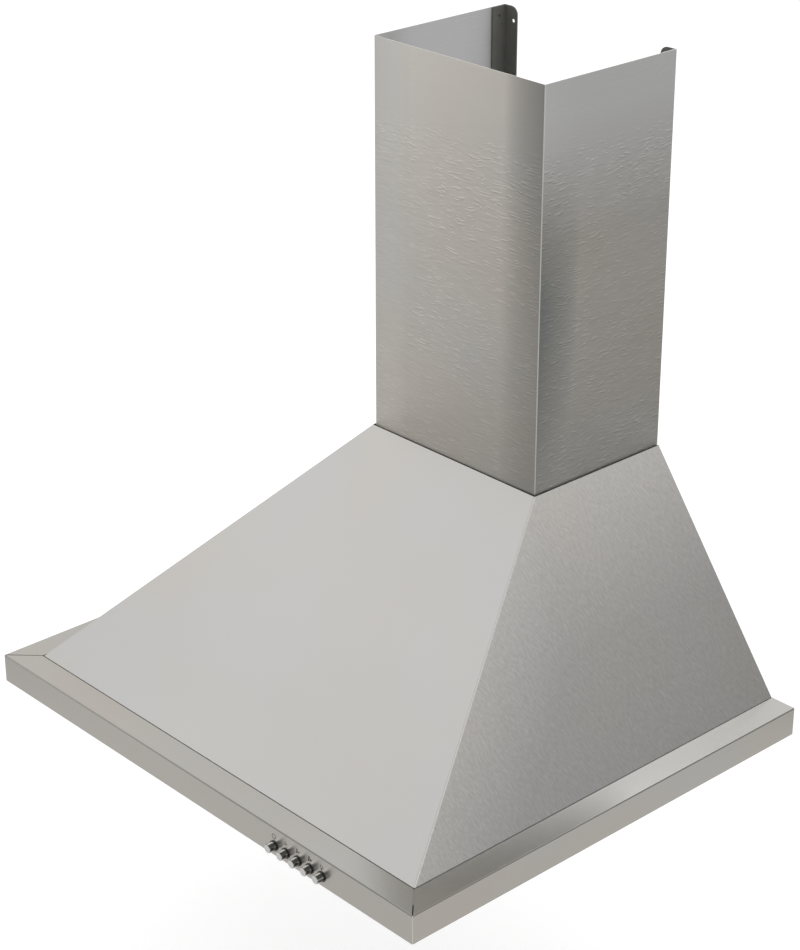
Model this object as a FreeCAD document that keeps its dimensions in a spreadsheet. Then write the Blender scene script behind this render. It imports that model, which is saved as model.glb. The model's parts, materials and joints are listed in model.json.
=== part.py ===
"""Chimney range hood: a pyramid canopy, 600 mm wide, under a square duct cover.

Millimetres. X runs to the right, the front faces -Y and +Z is up. The origin is on the
wall, in the middle of the canopy's width, level with the lower edge of its rim.
"""
import FreeCAD, Part
import Sketcher
import math
import os

document = FreeCAD.newDocument("range_hood")
sheet = document.addObject("Spreadsheet::Sheet", "sizes")
nodes = []


# ---------------------------------------------------------------- sizes and formulas

class Size:
    """A number that also remembers the spreadsheet formula it comes from."""

    def __init__(self, value, formula):
        self.value = float(value)
        self.formula = formula

    def __add__(self, other):
        return Size(self.value + number(other), f"({self.formula} + {formula(other)})")

    def __radd__(self, other):
        return Size(number(other) + self.value, f"({formula(other)} + {self.formula})")

    def __sub__(self, other):
        return Size(self.value - number(other), f"({self.formula} - {formula(other)})")

    def __rsub__(self, other):
        return Size(number(other) - self.value, f"({formula(other)} - {self.formula})")

    def __mul__(self, other):
        return Size(self.value * number(other), f"({self.formula} * {formula(other)})")

    def __rmul__(self, other):
        return self * other

    def __truediv__(self, other):
        return Size(self.value / number(other), f"({self.formula} / {formula(other)})")

    def __neg__(self):
        return Size(-self.value, f"(-1 * {self.formula})")


def number(amount):
    """The plain value of a size or of a number."""
    return amount.value if isinstance(amount, Size) else float(amount)


def formula(amount):
    """The spreadsheet formula of a size or of a number."""
    return amount.formula if isinstance(amount, Size) else f"({float(amount)!r})"


def square_root(amount):
    return Size(math.sqrt(amount.value), f"sqrt({amount.formula})")


def size(alias, value):
    """Write one driving dimension into the spreadsheet and return it."""
    row = len(sheet_rows) + 1
    sheet_rows.append(alias)
    sheet.set(f"A{row}", alias)
    sheet.set(f"B{row}", str(value))
    sheet.setAlias(f"B{row}", alias)
    return Size(value, f"sizes.{alias}")


sheet_rows = []

# Sheet metal and general clearances
steel = size("steel", 0.8)
back_steel = size("back_steel", 1.0)
fit_gap = size("fit_gap", 0.2)
running_gap = size("running_gap", 0.05)
past = size("past", 1.0)

# Canopy
hood_width = size("hood_width", 600)
hood_depth = size("hood_depth", 500)
rim_height = size("rim_height", 29)
rim_bend = size("rim_bend", 1.2)
ledge_width = size("ledge_width", 27.6)
ledge_gap = size("ledge_gap", 0.9)
seam_width = size("seam_width", 0.7)
front_flange = size("front_flange", 42)
side_flange = size("side_flange", 14)
foot_flange = size("foot_flange", 16)
cone_height = size("cone_height", 214.5)
cone_bend = size("cone_bend", 2.0)

# Duct cover and the angles in its rear corners
cover_width = size("cover_width", 221)
cover_depth = size("cover_depth", 170)
cover_height = size("cover_height", 394.5)
cover_bend = size("cover_bend", 1.5)
cover_margin = size("cover_margin", 2.0)
cover_recess = size("cover_recess", 1.0)
angle_leg = size("angle_leg", 17.5)
angle_steel = size("angle_steel", 1.2)
angle_corner = size("angle_corner", 8.0)
angle_hole = size("angle_hole", 1.9)
wall_hole_inset = size("wall_hole_inset", 13.3)
wall_hole_drop = size("wall_hole_drop", 14.0)
side_hole_inset = size("side_hole_inset", 9.5)
side_hole_drop = size("side_hole_drop", 10.5)
bracket_width = size("bracket_width", 20)
bracket_leg = size("bracket_leg", 14)
strip_corner_gap = size("strip_corner_gap", 12)

# Wall fixings in the back plate
hook_spacing = size("hook_spacing", 180)
hook_level = size("hook_level", 200)
hook_window_width = size("hook_window_width", 20)
hook_window_height = size("hook_window_height", 12)
wall_screw_spacing = size("wall_screw_spacing", 320)
wall_screw_level = size("wall_screw_level", 62)
wall_screw_hole = size("wall_screw_hole", 3.0)

# Outlet collar with its two non-return flaps
outlet_radius = size("outlet_radius", 59.5)
collar_wall = size("collar_wall", 1.5)
collar_height = size("collar_height", 40)
collar_rim = size("collar_rim", 11)
collar_rim_height = size("collar_rim_height", 2.0)
flap_level = size("flap_level", 16)
flap_thickness = size("flap_thickness", 1.2)
flap_seat = size("flap_seat", 4.0)
flap_seat_height = size("flap_seat_height", 2.0)
flap_gap = size("flap_gap", 1.0)
pin_radius = size("pin_radius", 1.25)
knuckle_radius = size("knuckle_radius", 2.4)
knuckle_pitch = size("knuckle_pitch", 23)
knuckle_length = size("knuckle_length", 21)

# Blower
scroll_radius = size("scroll_radius", 80)
scroll_wall = size("scroll_wall", 2.0)
scroll_half_width = size("scroll_half_width", 60)
fan_level = size("fan_level", 128)
throat_rim = size("throat_rim", 10)
throat_rim_height = size("throat_rim_height", 3.0)
inlet_radius = size("inlet_radius", 54)
lug_radius = size("lug_radius", 5)
lug_length = size("lug_length", 8)
wheel_radius = size("wheel_radius", 66)
wheel_half_length = size("wheel_half_length", 52)
wheel_ring = size("wheel_ring", 12)
wheel_ring_height = size("wheel_ring_height", 2.0)
wheel_disc = size("wheel_disc", 1.6)
blade_thickness = size("blade_thickness", 0.8)
blade_sweep = size("blade_sweep", 5.0)
hub_radius = size("hub_radius", 12)
hub_length = size("hub_length", 18)
motor_radius = size("motor_radius", 34)
motor_length = size("motor_length", 50)
shaft_radius = size("shaft_radius", 4.0)
bearing_radius = size("bearing_radius", 11)
bearing_length = size("bearing_length", 6)
grommet_radius = size("grommet_radius", 5)
grommet_height = size("grommet_height", 2.0)
motor_screw_circle = size("motor_screw_circle", 20)
bracket_bar_width = size("bracket_bar_width", 24)
bracket_bar_steel = size("bracket_bar_steel", 2.0)

# Electrical parts
box_wall = size("box_wall", 1.5)
box_width = size("box_width", 32)
box_length = size("box_length", 70)
box_height = size("box_height", 36)
box_side_place = size("box_side_place", 76)
box_rear_place = size("box_rear_place", 62)
capacitor_width = size("capacitor_width", 20)
capacitor_length = size("capacitor_length", 34)
gland_radius = size("gland_radius", 7)
gland_bore = size("gland_bore", 4.0)
gland_rim = size("gland_rim", 2.5)
gland_height = size("gland_height", 2.5)
gland_depth = size("gland_depth", 9)
gland_place = size("gland_place", 30)
lead_radius = size("lead_radius", 2.5)
lead_level = size("lead_level", 40)

# Lower panel, grease filters and lamps
panel_level = size("panel_level", 10)
filter_web = size("filter_web", 16)
filter_side_margin = size("filter_side_margin", 26.6)
filter_rear_margin = size("filter_rear_margin", 36)
filter_front_margin = size("filter_front_margin", 116.6)
filter_gap = size("filter_gap", 1.2)
filter_border = size("filter_border", 14)
filter_grip_border = size("filter_grip_border", 32)
filter_underside = size("filter_underside", 3.0)
filter_thickness = size("filter_thickness", 9)
mesh_level = size("mesh_level", 1.5)
mesh_thickness = size("mesh_thickness", 1.2)
mesh_groove = size("mesh_groove", 3.0)
mesh_strand = size("mesh_strand", 3.0)
mesh_columns = 14
mesh_rows = 18
rod_radius = size("rod_radius", 1.5)
rod_setback = size("rod_setback", 4.0)
rod_level = size("rod_level", 7.0)
hook_radius = size("hook_radius", 3.2)
hook_width = size("hook_width", 14)
hook_offset = size("hook_offset", 90)
rod_lug = size("rod_lug", 2.0)
latch_half_width = size("latch_half_width", 19.7)
latch_grip_half_width = size("latch_grip_half_width", 14)
latch_length = size("latch_length", 16)
latch_travel = size("latch_travel", 6)
latch_plate = size("latch_plate", 1.5)
latch_shoulder = size("latch_shoulder", 3.0)
latch_front_wall = size("latch_front_wall", 1.8)
tongue_thickness = size("tongue_thickness", 1.0)
lamp_side_inset = size("lamp_side_inset", 100)
lamp_front_inset = size("lamp_front_inset", 80)
lamp_radius = size("lamp_radius", 27.2)
lamp_wall = size("lamp_wall", 1.2)
lamp_height = size("lamp_height", 16)
lamp_ring_radius = size("lamp_ring_radius", 31)
lamp_ring_height = size("lamp_ring_height", 2.4)
lamp_lip = size("lamp_lip", 1.6)
lens_thickness = size("lens_thickness", 2.0)

# Push buttons
button_group_inset = size("button_group_inset", 148.4)
button_pitch = size("button_pitch", 16.1)
button_level = size("button_level", 9.8)
button_radius = size("button_radius", 4.3)
button_reach = size("button_reach", 8.0)
button_travel = size("button_travel", 4.0)
button_edge = size("button_edge", 0.4)
button_collar = size("button_collar", 1.0)
button_stem = size("button_stem", 2.2)
bezel_radius = size("bezel_radius", 5.2)
bezel_proud = size("bezel_proud", 0.8)
bezel_wall = size("bezel_wall", 0.45)
bezel_depth = size("bezel_depth", 4.5)
switch_depth = size("switch_depth", 24)
switch_height = size("switch_height", 17.2)
switch_end = size("switch_end", 8)
strap_steel = size("strap_steel", 1.2)
strap_foot = size("strap_foot", 10)

# Screws
screw_head = size("screw_head", 3.4)
screw_head_height = size("screw_head_height", 2.0)
screw_radius = size("screw_radius", 1.6)

button_names = ("off", "low", "medium", "high", "light")
blade_count = 36
sides = {"left": -1, "right": 1}


# ---------------------------------------------------------------- modelling helpers

TURN = {
    "X": FreeCAD.Rotation(FreeCAD.Vector(0, 1, 0), 90),
    "Y": FreeCAD.Rotation(FreeCAD.Vector(1, 0, 0), -90),
    "Z": FreeCAD.Rotation(),
}
CANOPY_TURN = FreeCAD.Rotation(FreeCAD.Vector(1, 0, 0), 90)


def bind(target, property_path, amount):
    """Tie a property of an object to its spreadsheet formula."""
    target.setExpression(property_path, formula(amount))


def place(target, position, rotation=TURN["Z"]):
    """Put an object at a position made of sizes, turned by a fixed rotation."""
    target.Placement = FreeCAD.Placement(FreeCAD.Vector(*map(number, position)), rotation)
    for axis, amount in zip("xyz", position):
        bind(target, f"Placement.Base.{axis}", amount)


def node(name, piece):
    """Name a finished sub-part and keep it for export."""
    piece.Label = name
    nodes.append(piece)
    return piece


def box(x, y, z):
    """A block between a low and a high value on each axis."""
    piece = document.addObject("Part::Box", "block")
    for name, (low, high) in zip(("Length", "Width", "Height"), (x, y, z)):
        bind(piece, name, high - low)
    place(piece, (x[0], y[0], z[0]))
    return piece


def rod(radius, start, length, axis="Z"):
    """A cylinder that runs from start towards +X, +Y or +Z."""
    piece = document.addObject("Part::Cylinder", "rod")
    bind(piece, "Radius", radius)
    bind(piece, "Height", length)
    place(piece, start, TURN[axis])
    return piece


def fuse(*pieces):
    """One solid out of several that touch or overlap."""
    result = document.addObject("Part::MultiFuse", "joined")
    result.Shapes = list(pieces)
    result.Refine = True
    return result


def group(*pieces):
    """Several separate solids that share one node."""
    result = document.addObject("Part::Compound", "set")
    result.Links = list(pieces)
    return result


def cut(base, *tools):
    """The base without its tools."""
    result = document.addObject("Part::Cut", "shaped")
    result.Base = base
    result.Tool = tools[0] if len(tools) == 1 else fuse(*tools)
    result.Refine = True
    return result


def common(first, second):
    """What two solids share."""
    result = document.addObject("Part::Common", "shared")
    result.Base = first
    result.Tool = second
    return result


def screw(head_low, length, axis="Z", outward=1):
    """A pan-head screw: the head stands on head_low, the shank runs the other way."""
    x, y, z = head_low
    steps = {"X": (1, 0, 0), "Y": (0, 1, 0), "Z": (0, 0, 1)}[axis]
    head_start = head_low
    shank_start = tuple(amount - step * length for amount, step in zip((x, y, z), steps))
    if outward < 0:
        head_start = tuple(
            amount - step * screw_head_height for amount, step in zip((x, y, z), steps))
        shank_start = head_low
    return fuse(
        rod(screw_head, head_start, screw_head_height, axis),
        rod(screw_radius, shank_start, length, axis))


def new_body(name):
    return document.addObject("PartDesign::Body", name)


def origin_feature(body, role):
    return next(item for item in body.Origin.OriginFeatures if item.Role == role)


def sketch(body, role, offset=0):
    """A sketch on one of the body's origin planes, lifted along its normal."""
    result = body.newObject("Sketcher::SketchObject", "sketch")
    result.AttachmentSupport = [(origin_feature(body, role), "")]
    result.MapMode = "FlatFace"
    lift = FreeCAD.Vector(0, 0, number(offset))
    result.AttachmentOffset = FreeCAD.Placement(lift, FreeCAD.Rotation())
    bind(result, "AttachmentOffset.Base.z", offset)
    return result


def pin_point(target, geometry, point, x, y):
    """Fix one sketch point by its distances from the sketch origin."""
    for kind, amount in (("DistanceX", x), ("DistanceY", y)):
        constraint = Sketcher.Constraint(kind, -1, 1, geometry, point, number(amount))
        index = target.addConstraint(constraint)
        bind(target, f"Constraints[{index}]", amount)


def outline(target, points):
    """A closed run of straight lines whose corners follow the sizes."""
    first = target.GeometryCount
    corners = [FreeCAD.Vector(number(x), number(y), 0) for x, y in points]
    count = len(points)
    for index in range(count):
        line = Part.LineSegment(corners[index], corners[(index + 1) % count])
        target.addGeometry(line, False)
    for index in range(count):
        following = first + (index + 1) % count
        target.addConstraint(
            Sketcher.Constraint("Coincident", first + index, 2, following, 1))
    for index, (x, y) in enumerate(points):
        pin_point(target, first + index, 1, x, y)
    return target


def circle(target, x, y, radius):
    """A circle whose centre and radius follow the sizes."""
    centre = FreeCAD.Vector(number(x), number(y), 0)
    shape = Part.Circle(centre, FreeCAD.Vector(0, 0, 1), number(radius))
    index = target.addGeometry(shape, False)
    pin_point(target, index, 3, x, y)
    constraint = target.addConstraint(Sketcher.Constraint("Radius", index, number(radius)))
    bind(target, f"Constraints[{constraint}]", radius)
    return target


def rectangle(target, x, y):
    """A rectangle between a low and a high value on each sketch axis."""
    return outline(target, ((x[0], y[0]), (x[1], y[0]), (x[1], y[1]), (x[0], y[1])))


def pad(body, profile, length, both_ways=False):
    """Raise a sketch along its normal."""
    feature = body.newObject("PartDesign::Pad", "pad")
    feature.Profile = profile
    bind(feature, "Length", length)
    feature.Midplane = both_ways
    document.recompute()
    return feature


def pocket(body, profile, length, along_normal=False):
    """Cut a sketch into the body and make sure that something was cut."""
    before = body.Shape.Volume
    feature = body.newObject("PartDesign::Pocket", "pocket")
    feature.Profile = profile
    feature.Reversed = along_normal
    bind(feature, "Length", length)
    document.recompute()
    if body.Shape.Volume >= before:
        raise ValueError(f"a pocket of {body.Label} cuts nothing")
    return feature


def round_edges(body, feature, radius, chosen):
    """Round the edges for which chosen(low corner, high corner) is true."""
    names = []
    for index, edge in enumerate(feature.Shape.Edges, start=1):
        bounds = edge.BoundBox
        low = FreeCAD.Vector(bounds.XMin, bounds.YMin, bounds.ZMin)
        high = FreeCAD.Vector(bounds.XMax, bounds.YMax, bounds.ZMax)
        if chosen(low, high):
            names.append(f"Edge{index}")
    result = body.newObject("PartDesign::Fillet", "bend")
    result.Base = (feature, names)
    bind(result, "Radius", radius)
    document.recompute()
    return result


def near(first, second):
    return abs(first - number(second)) < 0.01


# ---------------------------------------------------------------- shared levels

base_half = hood_width / 2 - ledge_width - ledge_gap
base_depth = hood_depth - ledge_width - ledge_gap
top_half = cover_width / 2 + cover_margin
top_depth = cover_depth + cover_margin
side_slope = (base_half - top_half) / cone_height
front_slope = (base_depth - top_depth) / cone_height
side_wall = steel * square_root(1 + side_slope * side_slope)
front_wall = steel * square_root(1 + front_slope * front_slope)

ledge_low = rim_height - steel
foot_low = ledge_low - steel
cone_top = rim_height + cone_height
plate_top = cone_top - cover_recess
plate_low = plate_top - steel
back_face = -(back_steel + fit_gap)
cover_top = plate_top + cover_height
cover_half = cover_width / 2
duct_axis = -cover_depth / 2

panel_half_width = hood_width / 2 - steel - fit_gap
panel_front = -(hood_depth - front_flange - fit_gap)
panel_top = panel_level + steel
fascia = -hood_depth
button_group_place = hood_width / 2 - button_group_inset
lamp_place = hood_width / 2 - lamp_side_inset
lamp_y = -(hood_depth - lamp_front_inset)


def half_width_at(level):
    """Half of the canopy's outer width at a level on its sloped sides."""
    return base_half - side_slope * (level - rim_height)


def depth_at(level):
    """The canopy's outer depth at a level on its sloped front."""
    return base_depth - front_slope * (level - rim_height)


# ---------------------------------------------------------------- canopy

def follow_slopes(piece, low, high, side_inset, front_inset, rear):
    """Give a wedge the canopy's three slopes, drawn in by an inset on each."""
    for name, level in (("", low), ("2", high)):
        half = half_width_at(level) - side_inset
        bind(piece, f"X{name}max", half)
        bind(piece, f"X{name}min", -half)
        bind(piece, f"Z{name}max", depth_at(level) - front_inset)
        bind(piece, f"Z{name}min", -rear)
    bind(piece, "Ymin", low)
    bind(piece, "Ymax", high)


def sloped_block(low, high, side_inset, front_inset, rear):
    """A block between two levels that follows the canopy's three sloped faces."""
    piece = document.addObject("Part::Wedge", "sloped_block")
    follow_slopes(piece, low, high, side_inset, front_inset, rear)
    place(piece, (0, 0, 0), CANOPY_TURN)
    return piece


def make_rim():
    """The folded rim: skirt on three sides, flat ledge on top, flanges below."""
    body = new_body("rim")
    half = hood_width / 2
    outer = rectangle(sketch(body, "XY_Plane"), (-half, half), (-hood_depth, 0))
    block = pad(body, outer, rim_height)

    def is_outer_bend(low, high):
        upright = near(low.z, 0) and near(high.z, rim_height) and near(low.y, -hood_depth)
        along_top = near(low.z, rim_height) and near(low.y, -hood_depth)
        return upright and near(high.y, -hood_depth) or along_top

    round_edges(body, block, rim_bend, is_outer_bend)

    inner = half - steel
    cavity = sketch(body, "XY_Plane", steel)
    rectangle(cavity, (-inner, inner), (-(hood_depth - steel), past))
    pocket(body, cavity, rim_height - 2 * steel, along_normal=True)

    ledge_half = half - ledge_width
    top_opening = sketch(body, "XY_Plane", ledge_low)
    rectangle(top_opening, (-ledge_half, ledge_half), (-(hood_depth - ledge_width), past))
    pocket(body, top_opening, steel, along_normal=True)

    flange_half = half - side_flange
    lower_opening = sketch(body, "XY_Plane")
    rectangle(lower_opening, (-flange_half, flange_half),
              (-(hood_depth - front_flange), past))
    pocket(body, lower_opening, steel, along_normal=True)

    shift = seam_width / 2 / math.sqrt(2)
    seams = sketch(body, "XY_Plane", ledge_low)
    for side in sides.values():
        outer_x = side * (half - rim_bend)
        inner_x = side * (ledge_half - past)
        outer_y = -(hood_depth - rim_bend)
        inner_y = -(hood_depth - ledge_width - past)
        outline(seams, (
            (outer_x + side * shift, outer_y + shift),
            (inner_x + side * shift, inner_y + shift),
            (inner_x - side * shift, inner_y - shift),
            (outer_x - side * shift, outer_y - shift)))
    pocket(body, seams, steel, along_normal=True)

    button_holes = sketch(body, "XZ_Plane", hood_depth)
    for x in button_places():
        circle(button_holes, x, button_level, bezel_hole)
    pocket(body, button_holes, 2 * steel)

    screw_holes = sketch(body, "XY_Plane")
    for x in strap_screw_places():
        circle(screw_holes, x, strap_screw_setback, screw_radius)
    pocket(body, screw_holes, steel, along_normal=True)
    return node("rim", body)


def make_canopy_shell():
    """The sloped shell: one folded sheet whose foot stands upright inside the ledge."""
    body = new_body("canopy_skin")
    wedge = body.newObject("PartDesign::AdditiveWedge", "pyramid")
    follow_slopes(wedge, rim_height, cone_top, 0, 0, Size(0, "0"))
    document.recompute()
    round_edges(body, wedge, cone_bend, lambda low, high: (
        high.y - low.y > number(cone_height) - 1 and low.z > 1))
    place(body, (0, 0, 0), CANOPY_TURN)

    neck_half = base_half - side_wall
    neck_depth = base_depth - front_wall
    return node("canopy_shell", cut(
        fuse(
            body,
            box((-base_half, base_half), (-base_depth, 0), (foot_low, rim_height))),
        sloped_block(rim_height, cone_top, side_wall, front_wall, past),
        box((-neck_half, neck_half), (-neck_depth, past), (foot_low - past, rim_height))))


def make_foot_strips():
    """Three flat strips round the shell's foot, spot-welded under the ledge."""
    foot_half = base_half + foot_flange
    foot_front = -(base_depth + foot_flange)
    level = (foot_low, ledge_low)
    node("foot_strips", group(
        box((-foot_half, -base_half), (foot_front, 0), level),
        box((base_half, foot_half), (foot_front, 0), level),
        box((-base_half, base_half), (foot_front, -base_depth), level)))


def make_back_plate():
    """The rear wall of the canopy, with its hanging windows and screw holes."""
    body = new_body("back_plate")
    low_half = panel_half_width
    neck_half = base_half - side_wall - fit_gap
    top_half_width = half_width_at(plate_top) - side_wall - fit_gap
    flange_half = hood_width / 2 - side_flange - fit_gap
    low = steel + fit_gap
    shoulder = foot_low - fit_gap
    plate = outline(sketch(body, "XZ_Plane"), (
        (-flange_half, 0), (flange_half, 0), (flange_half, low), (low_half, low),
        (low_half, shoulder), (neck_half, shoulder), (neck_half, rim_height),
        (top_half_width, plate_top), (-top_half_width, plate_top),
        (-neck_half, rim_height), (-neck_half, shoulder), (-low_half, shoulder),
        (-low_half, low), (-flange_half, low)))
    pad(body, plate, back_steel)

    openings = sketch(body, "XZ_Plane")
    for side in sides.values():
        centre = side * hook_spacing / 2
        rectangle(openings, (centre - hook_window_width / 2, centre + hook_window_width / 2),
                  (hook_level - hook_window_height / 2, hook_level + hook_window_height / 2))
        circle(openings, side * wall_screw_spacing / 2, wall_screw_level, wall_screw_hole)
    pocket(body, openings, back_steel, along_normal=True)
    return node("back_plate", body)


def make_top_plate():
    """The flat plate that closes the canopy and carries the blower and the cover."""
    inset_side = side_wall + fit_gap
    inset_front = front_wall + fit_gap
    holes = [rod(outlet_inner, (0, duct_axis, plate_low - past), steel + 2 * past)]
    holes.append(rod(gland_radius, (gland_x, gland_y, plate_low - past), steel + 2 * past))
    for x, y in blower_screw_places() + collar_screw_places() + cover_screw_places():
        holes.append(rod(screw_radius, (x, y, plate_low - past), steel + 2 * past))
    return node("top_plate", cut(
        sloped_block(plate_low, plate_top, inset_side, inset_front, back_face), *holes))


def make_neck_strips():
    """Three strips welded inside the shell's neck; the top plate lies on their edges."""
    strip_low = plate_top - bracket_leg
    lining = cut(
        sloped_block(strip_low, plate_low, side_wall, front_wall, back_face),
        sloped_block(strip_low, plate_low, 2 * side_wall, 2 * front_wall, back_face + past))
    corner_x = top_half - strip_corner_gap
    corner_y = -(top_depth - strip_corner_gap)
    level = (strip_low, plate_low)
    node("neck_strips", group(
        common(lining, box((-base_half, -corner_x), (corner_y, 0), level)),
        common(lining, box((corner_x, base_half), (corner_y, 0), level)),
        common(lining, box((-corner_x, corner_x), (-base_depth, corner_y), level))))


# ---------------------------------------------------------------- duct cover

def make_duct_cover():
    """The upright cover: one sheet folded into a U, open to the wall."""
    body = new_body("duct_cover")
    inner = cover_half - steel
    inner_front = -(cover_depth - steel)
    section = outline(sketch(body, "XY_Plane", plate_top), (
        (-cover_half, 0), (-cover_half, -cover_depth), (cover_half, -cover_depth),
        (cover_half, 0), (inner, 0), (inner, inner_front), (-inner, inner_front),
        (-inner, 0)))
    sleeve = pad(body, section, cover_height)

    def upright_at(y):
        return lambda low, high: (
            near(low.y, y) and near(high.y, y) and high.z - low.z > number(cover_height) - 1)

    bend = round_edges(body, sleeve, cover_bend, upright_at(-cover_depth))
    round_edges(body, bend, cover_bend - steel, upright_at(inner_front))
    return node("duct_cover", body)


def make_corner_angle(name, side):
    """A dark angle section that stiffens a rear corner of the cover over its height."""
    body = new_body(name)
    corner = side * (cover_half - steel)
    end = side * (cover_half - steel - angle_leg)
    web = side * (cover_half - steel - angle_steel)
    section = outline(sketch(body, "XY_Plane", plate_top), (
        (corner, 0), (end, 0), (end, -angle_steel), (web, -angle_steel),
        (web, -angle_leg), (corner, -angle_leg)))
    angle = pad(body, section, cover_height)
    round_edges(body, angle, angle_corner, lambda low, high: (
        near(low.z, cover_top) and near(high.z, cover_top)
        and near(low.x, end) and near(high.x, end)))

    wall_hole = sketch(body, "XZ_Plane")
    circle(wall_hole, side * (cover_half - wall_hole_inset), cover_top - wall_hole_drop,
           angle_hole)
    pocket(body, wall_hole, 2 * angle_steel, along_normal=True)
    side_hole = sketch(body, "YZ_Plane", web - side * past)
    circle(side_hole, -side_hole_inset, cover_top - side_hole_drop, angle_hole)
    pocket(body, side_hole, angle_steel + 2 * past, along_normal=side > 0)
    return node(name, body)


def cover_screw_places():
    inset = cover_half - steel - bracket_leg / 2 - angle_steel / 2
    return [(side * inset, duct_axis) for side in sides.values()]


def make_cover_brackets():
    """Two small angles on the top plate that hold the foot of the cover."""
    pieces = []
    for side in sides.values():
        outer = side * (cover_half - steel)
        web = side * (cover_half - steel - angle_steel)
        end = side * (cover_half - steel - bracket_leg)
        along_y = (duct_axis - bracket_width / 2, duct_axis + bracket_width / 2)
        foot_x = (end, outer) if side > 0 else (outer, end)
        web_x = (web, outer) if side > 0 else (outer, web)
        foot = box(foot_x, along_y, (plate_top, plate_top + angle_steel))
        upright = box(web_x, along_y, (plate_top, plate_top + bracket_leg))
        x, y = cover_screw_places()[0 if side < 0 else 1]
        hole = rod(screw_radius, (x, y, plate_top - past), angle_steel + 2 * past)
        pieces.append(cut(fuse(foot, upright), hole))
    node("cover_brackets", group(*pieces))
    node("cover_bracket_screws", group(*[
        screw((x, y, plate_top + angle_steel), angle_steel + steel)
        for x, y in cover_screw_places()]))


# ---------------------------------------------------------------- outlet and flaps

outlet_inner = outlet_radius - collar_wall
pin_level = plate_top + flap_level
seat_top = pin_level - flap_thickness / 2 - running_gap
collar_screw_offset = (outlet_radius + collar_rim / 2) / math.sqrt(2)


def collar_screw_places():
    return [(side * collar_screw_offset, duct_axis + end * collar_screw_offset)
            for side in (-1, 1) for end in (-1, 1)]


def make_outlet_collar():
    """The round spigot that takes the duct, with its flaps' seat, on a flat ring."""
    tube_low = plate_top + collar_rim_height
    tube_high = plate_top + collar_height
    seat_low = seat_top - flap_seat_height
    holes = [
        rod(outlet_inner, (0, duct_axis, tube_low - past), seat_low - tube_low + past),
        rod(outlet_inner - flap_seat, (0, duct_axis, tube_low), tube_high - tube_low),
        rod(outlet_inner, (0, duct_axis, seat_top), tube_high - seat_top + past),
        rod(pin_radius, (-outlet_radius - past, duct_axis, pin_level),
            2 * (outlet_radius + past), "X")]
    node("outlet_collar", cut(
        rod(outlet_radius, (0, duct_axis, tube_low), tube_high - tube_low), *holes))
    ring_holes = [rod(outlet_inner, (0, duct_axis, plate_top - past),
                      collar_rim_height + 2 * past)]
    for x, y in collar_screw_places():
        ring_holes.append(rod(screw_radius, (x, y, plate_top - past),
                              collar_rim_height + 2 * past))
    node("collar_ring", cut(
        rod(outlet_radius + collar_rim, (0, duct_axis, plate_top), collar_rim_height),
        *ring_holes))
    node("collar_screws", group(*[
        screw((x, y, plate_top + collar_rim_height), collar_rim_height + steel)
        for x, y in collar_screw_places()]))
    node("damper_pin", rod(pin_radius, (-outlet_radius, duct_axis, pin_level),
                           2 * outlet_radius, "X"))


def make_damper_flap(name, direction, first_knuckle):
    """Half a disc that swings up on the pin; its knuckles alternate with its partner's."""
    low = pin_level - flap_thickness / 2
    clear = knuckle_radius + flap_gap / 2
    disc = rod(outlet_inner - flap_gap, (0, duct_axis, low), flap_thickness)
    near_edge = duct_axis + direction * clear
    far_edge = duct_axis + direction * outlet_radius
    span_y = (near_edge, far_edge) if direction > 0 else (far_edge, near_edge)
    half = box((-outlet_radius, outlet_radius), span_y, (low - past, pin_level + past))
    pieces = [common(disc, half)]
    for index in (first_knuckle, first_knuckle + 2):
        start = (index - 1.5) * knuckle_pitch - knuckle_length / 2
        pieces.append(rod(knuckle_radius, (start, duct_axis, pin_level), knuckle_length, "X"))
        root = duct_axis + direction * (clear + past)
        root_y = (duct_axis, root) if direction > 0 else (root, duct_axis)
        pieces.append(box((start, start + knuckle_length), root_y,
                          (low, low + flap_thickness)))
    bore = rod(pin_radius + running_gap, (-outlet_radius, duct_axis, pin_level),
               2 * outlet_radius, "X")
    node(name, cut(fuse(*pieces), bore))


# ---------------------------------------------------------------- blower

throat_outer = outlet_inner + scroll_wall
fan_axis = duct_axis + throat_outer - scroll_radius
rim_half = throat_outer + throat_rim
blower_screw_offset = rim_half - throat_rim / 2
volute_lug_angles = (205, 250, 290, 335)


def blower_screw_places():
    return [(side * blower_screw_offset, duct_axis + end * blower_screw_offset)
            for side in (-1, 1) for end in (-1, 1)]


def volute_lug_places():
    """Centres of the lugs round the lower part of the scroll, seen along X."""
    reach = scroll_radius + screw_head + fit_gap
    return [(fan_axis + reach * math.cos(math.radians(angle)),
             fan_level + reach * math.sin(math.radians(angle)))
            for angle in volute_lug_angles]


def half_span(side, inner, outer):
    """The X range from inner to outer on one side of the middle."""
    return (side * inner, side * outer) if side > 0 else (side * outer, side * inner)


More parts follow.
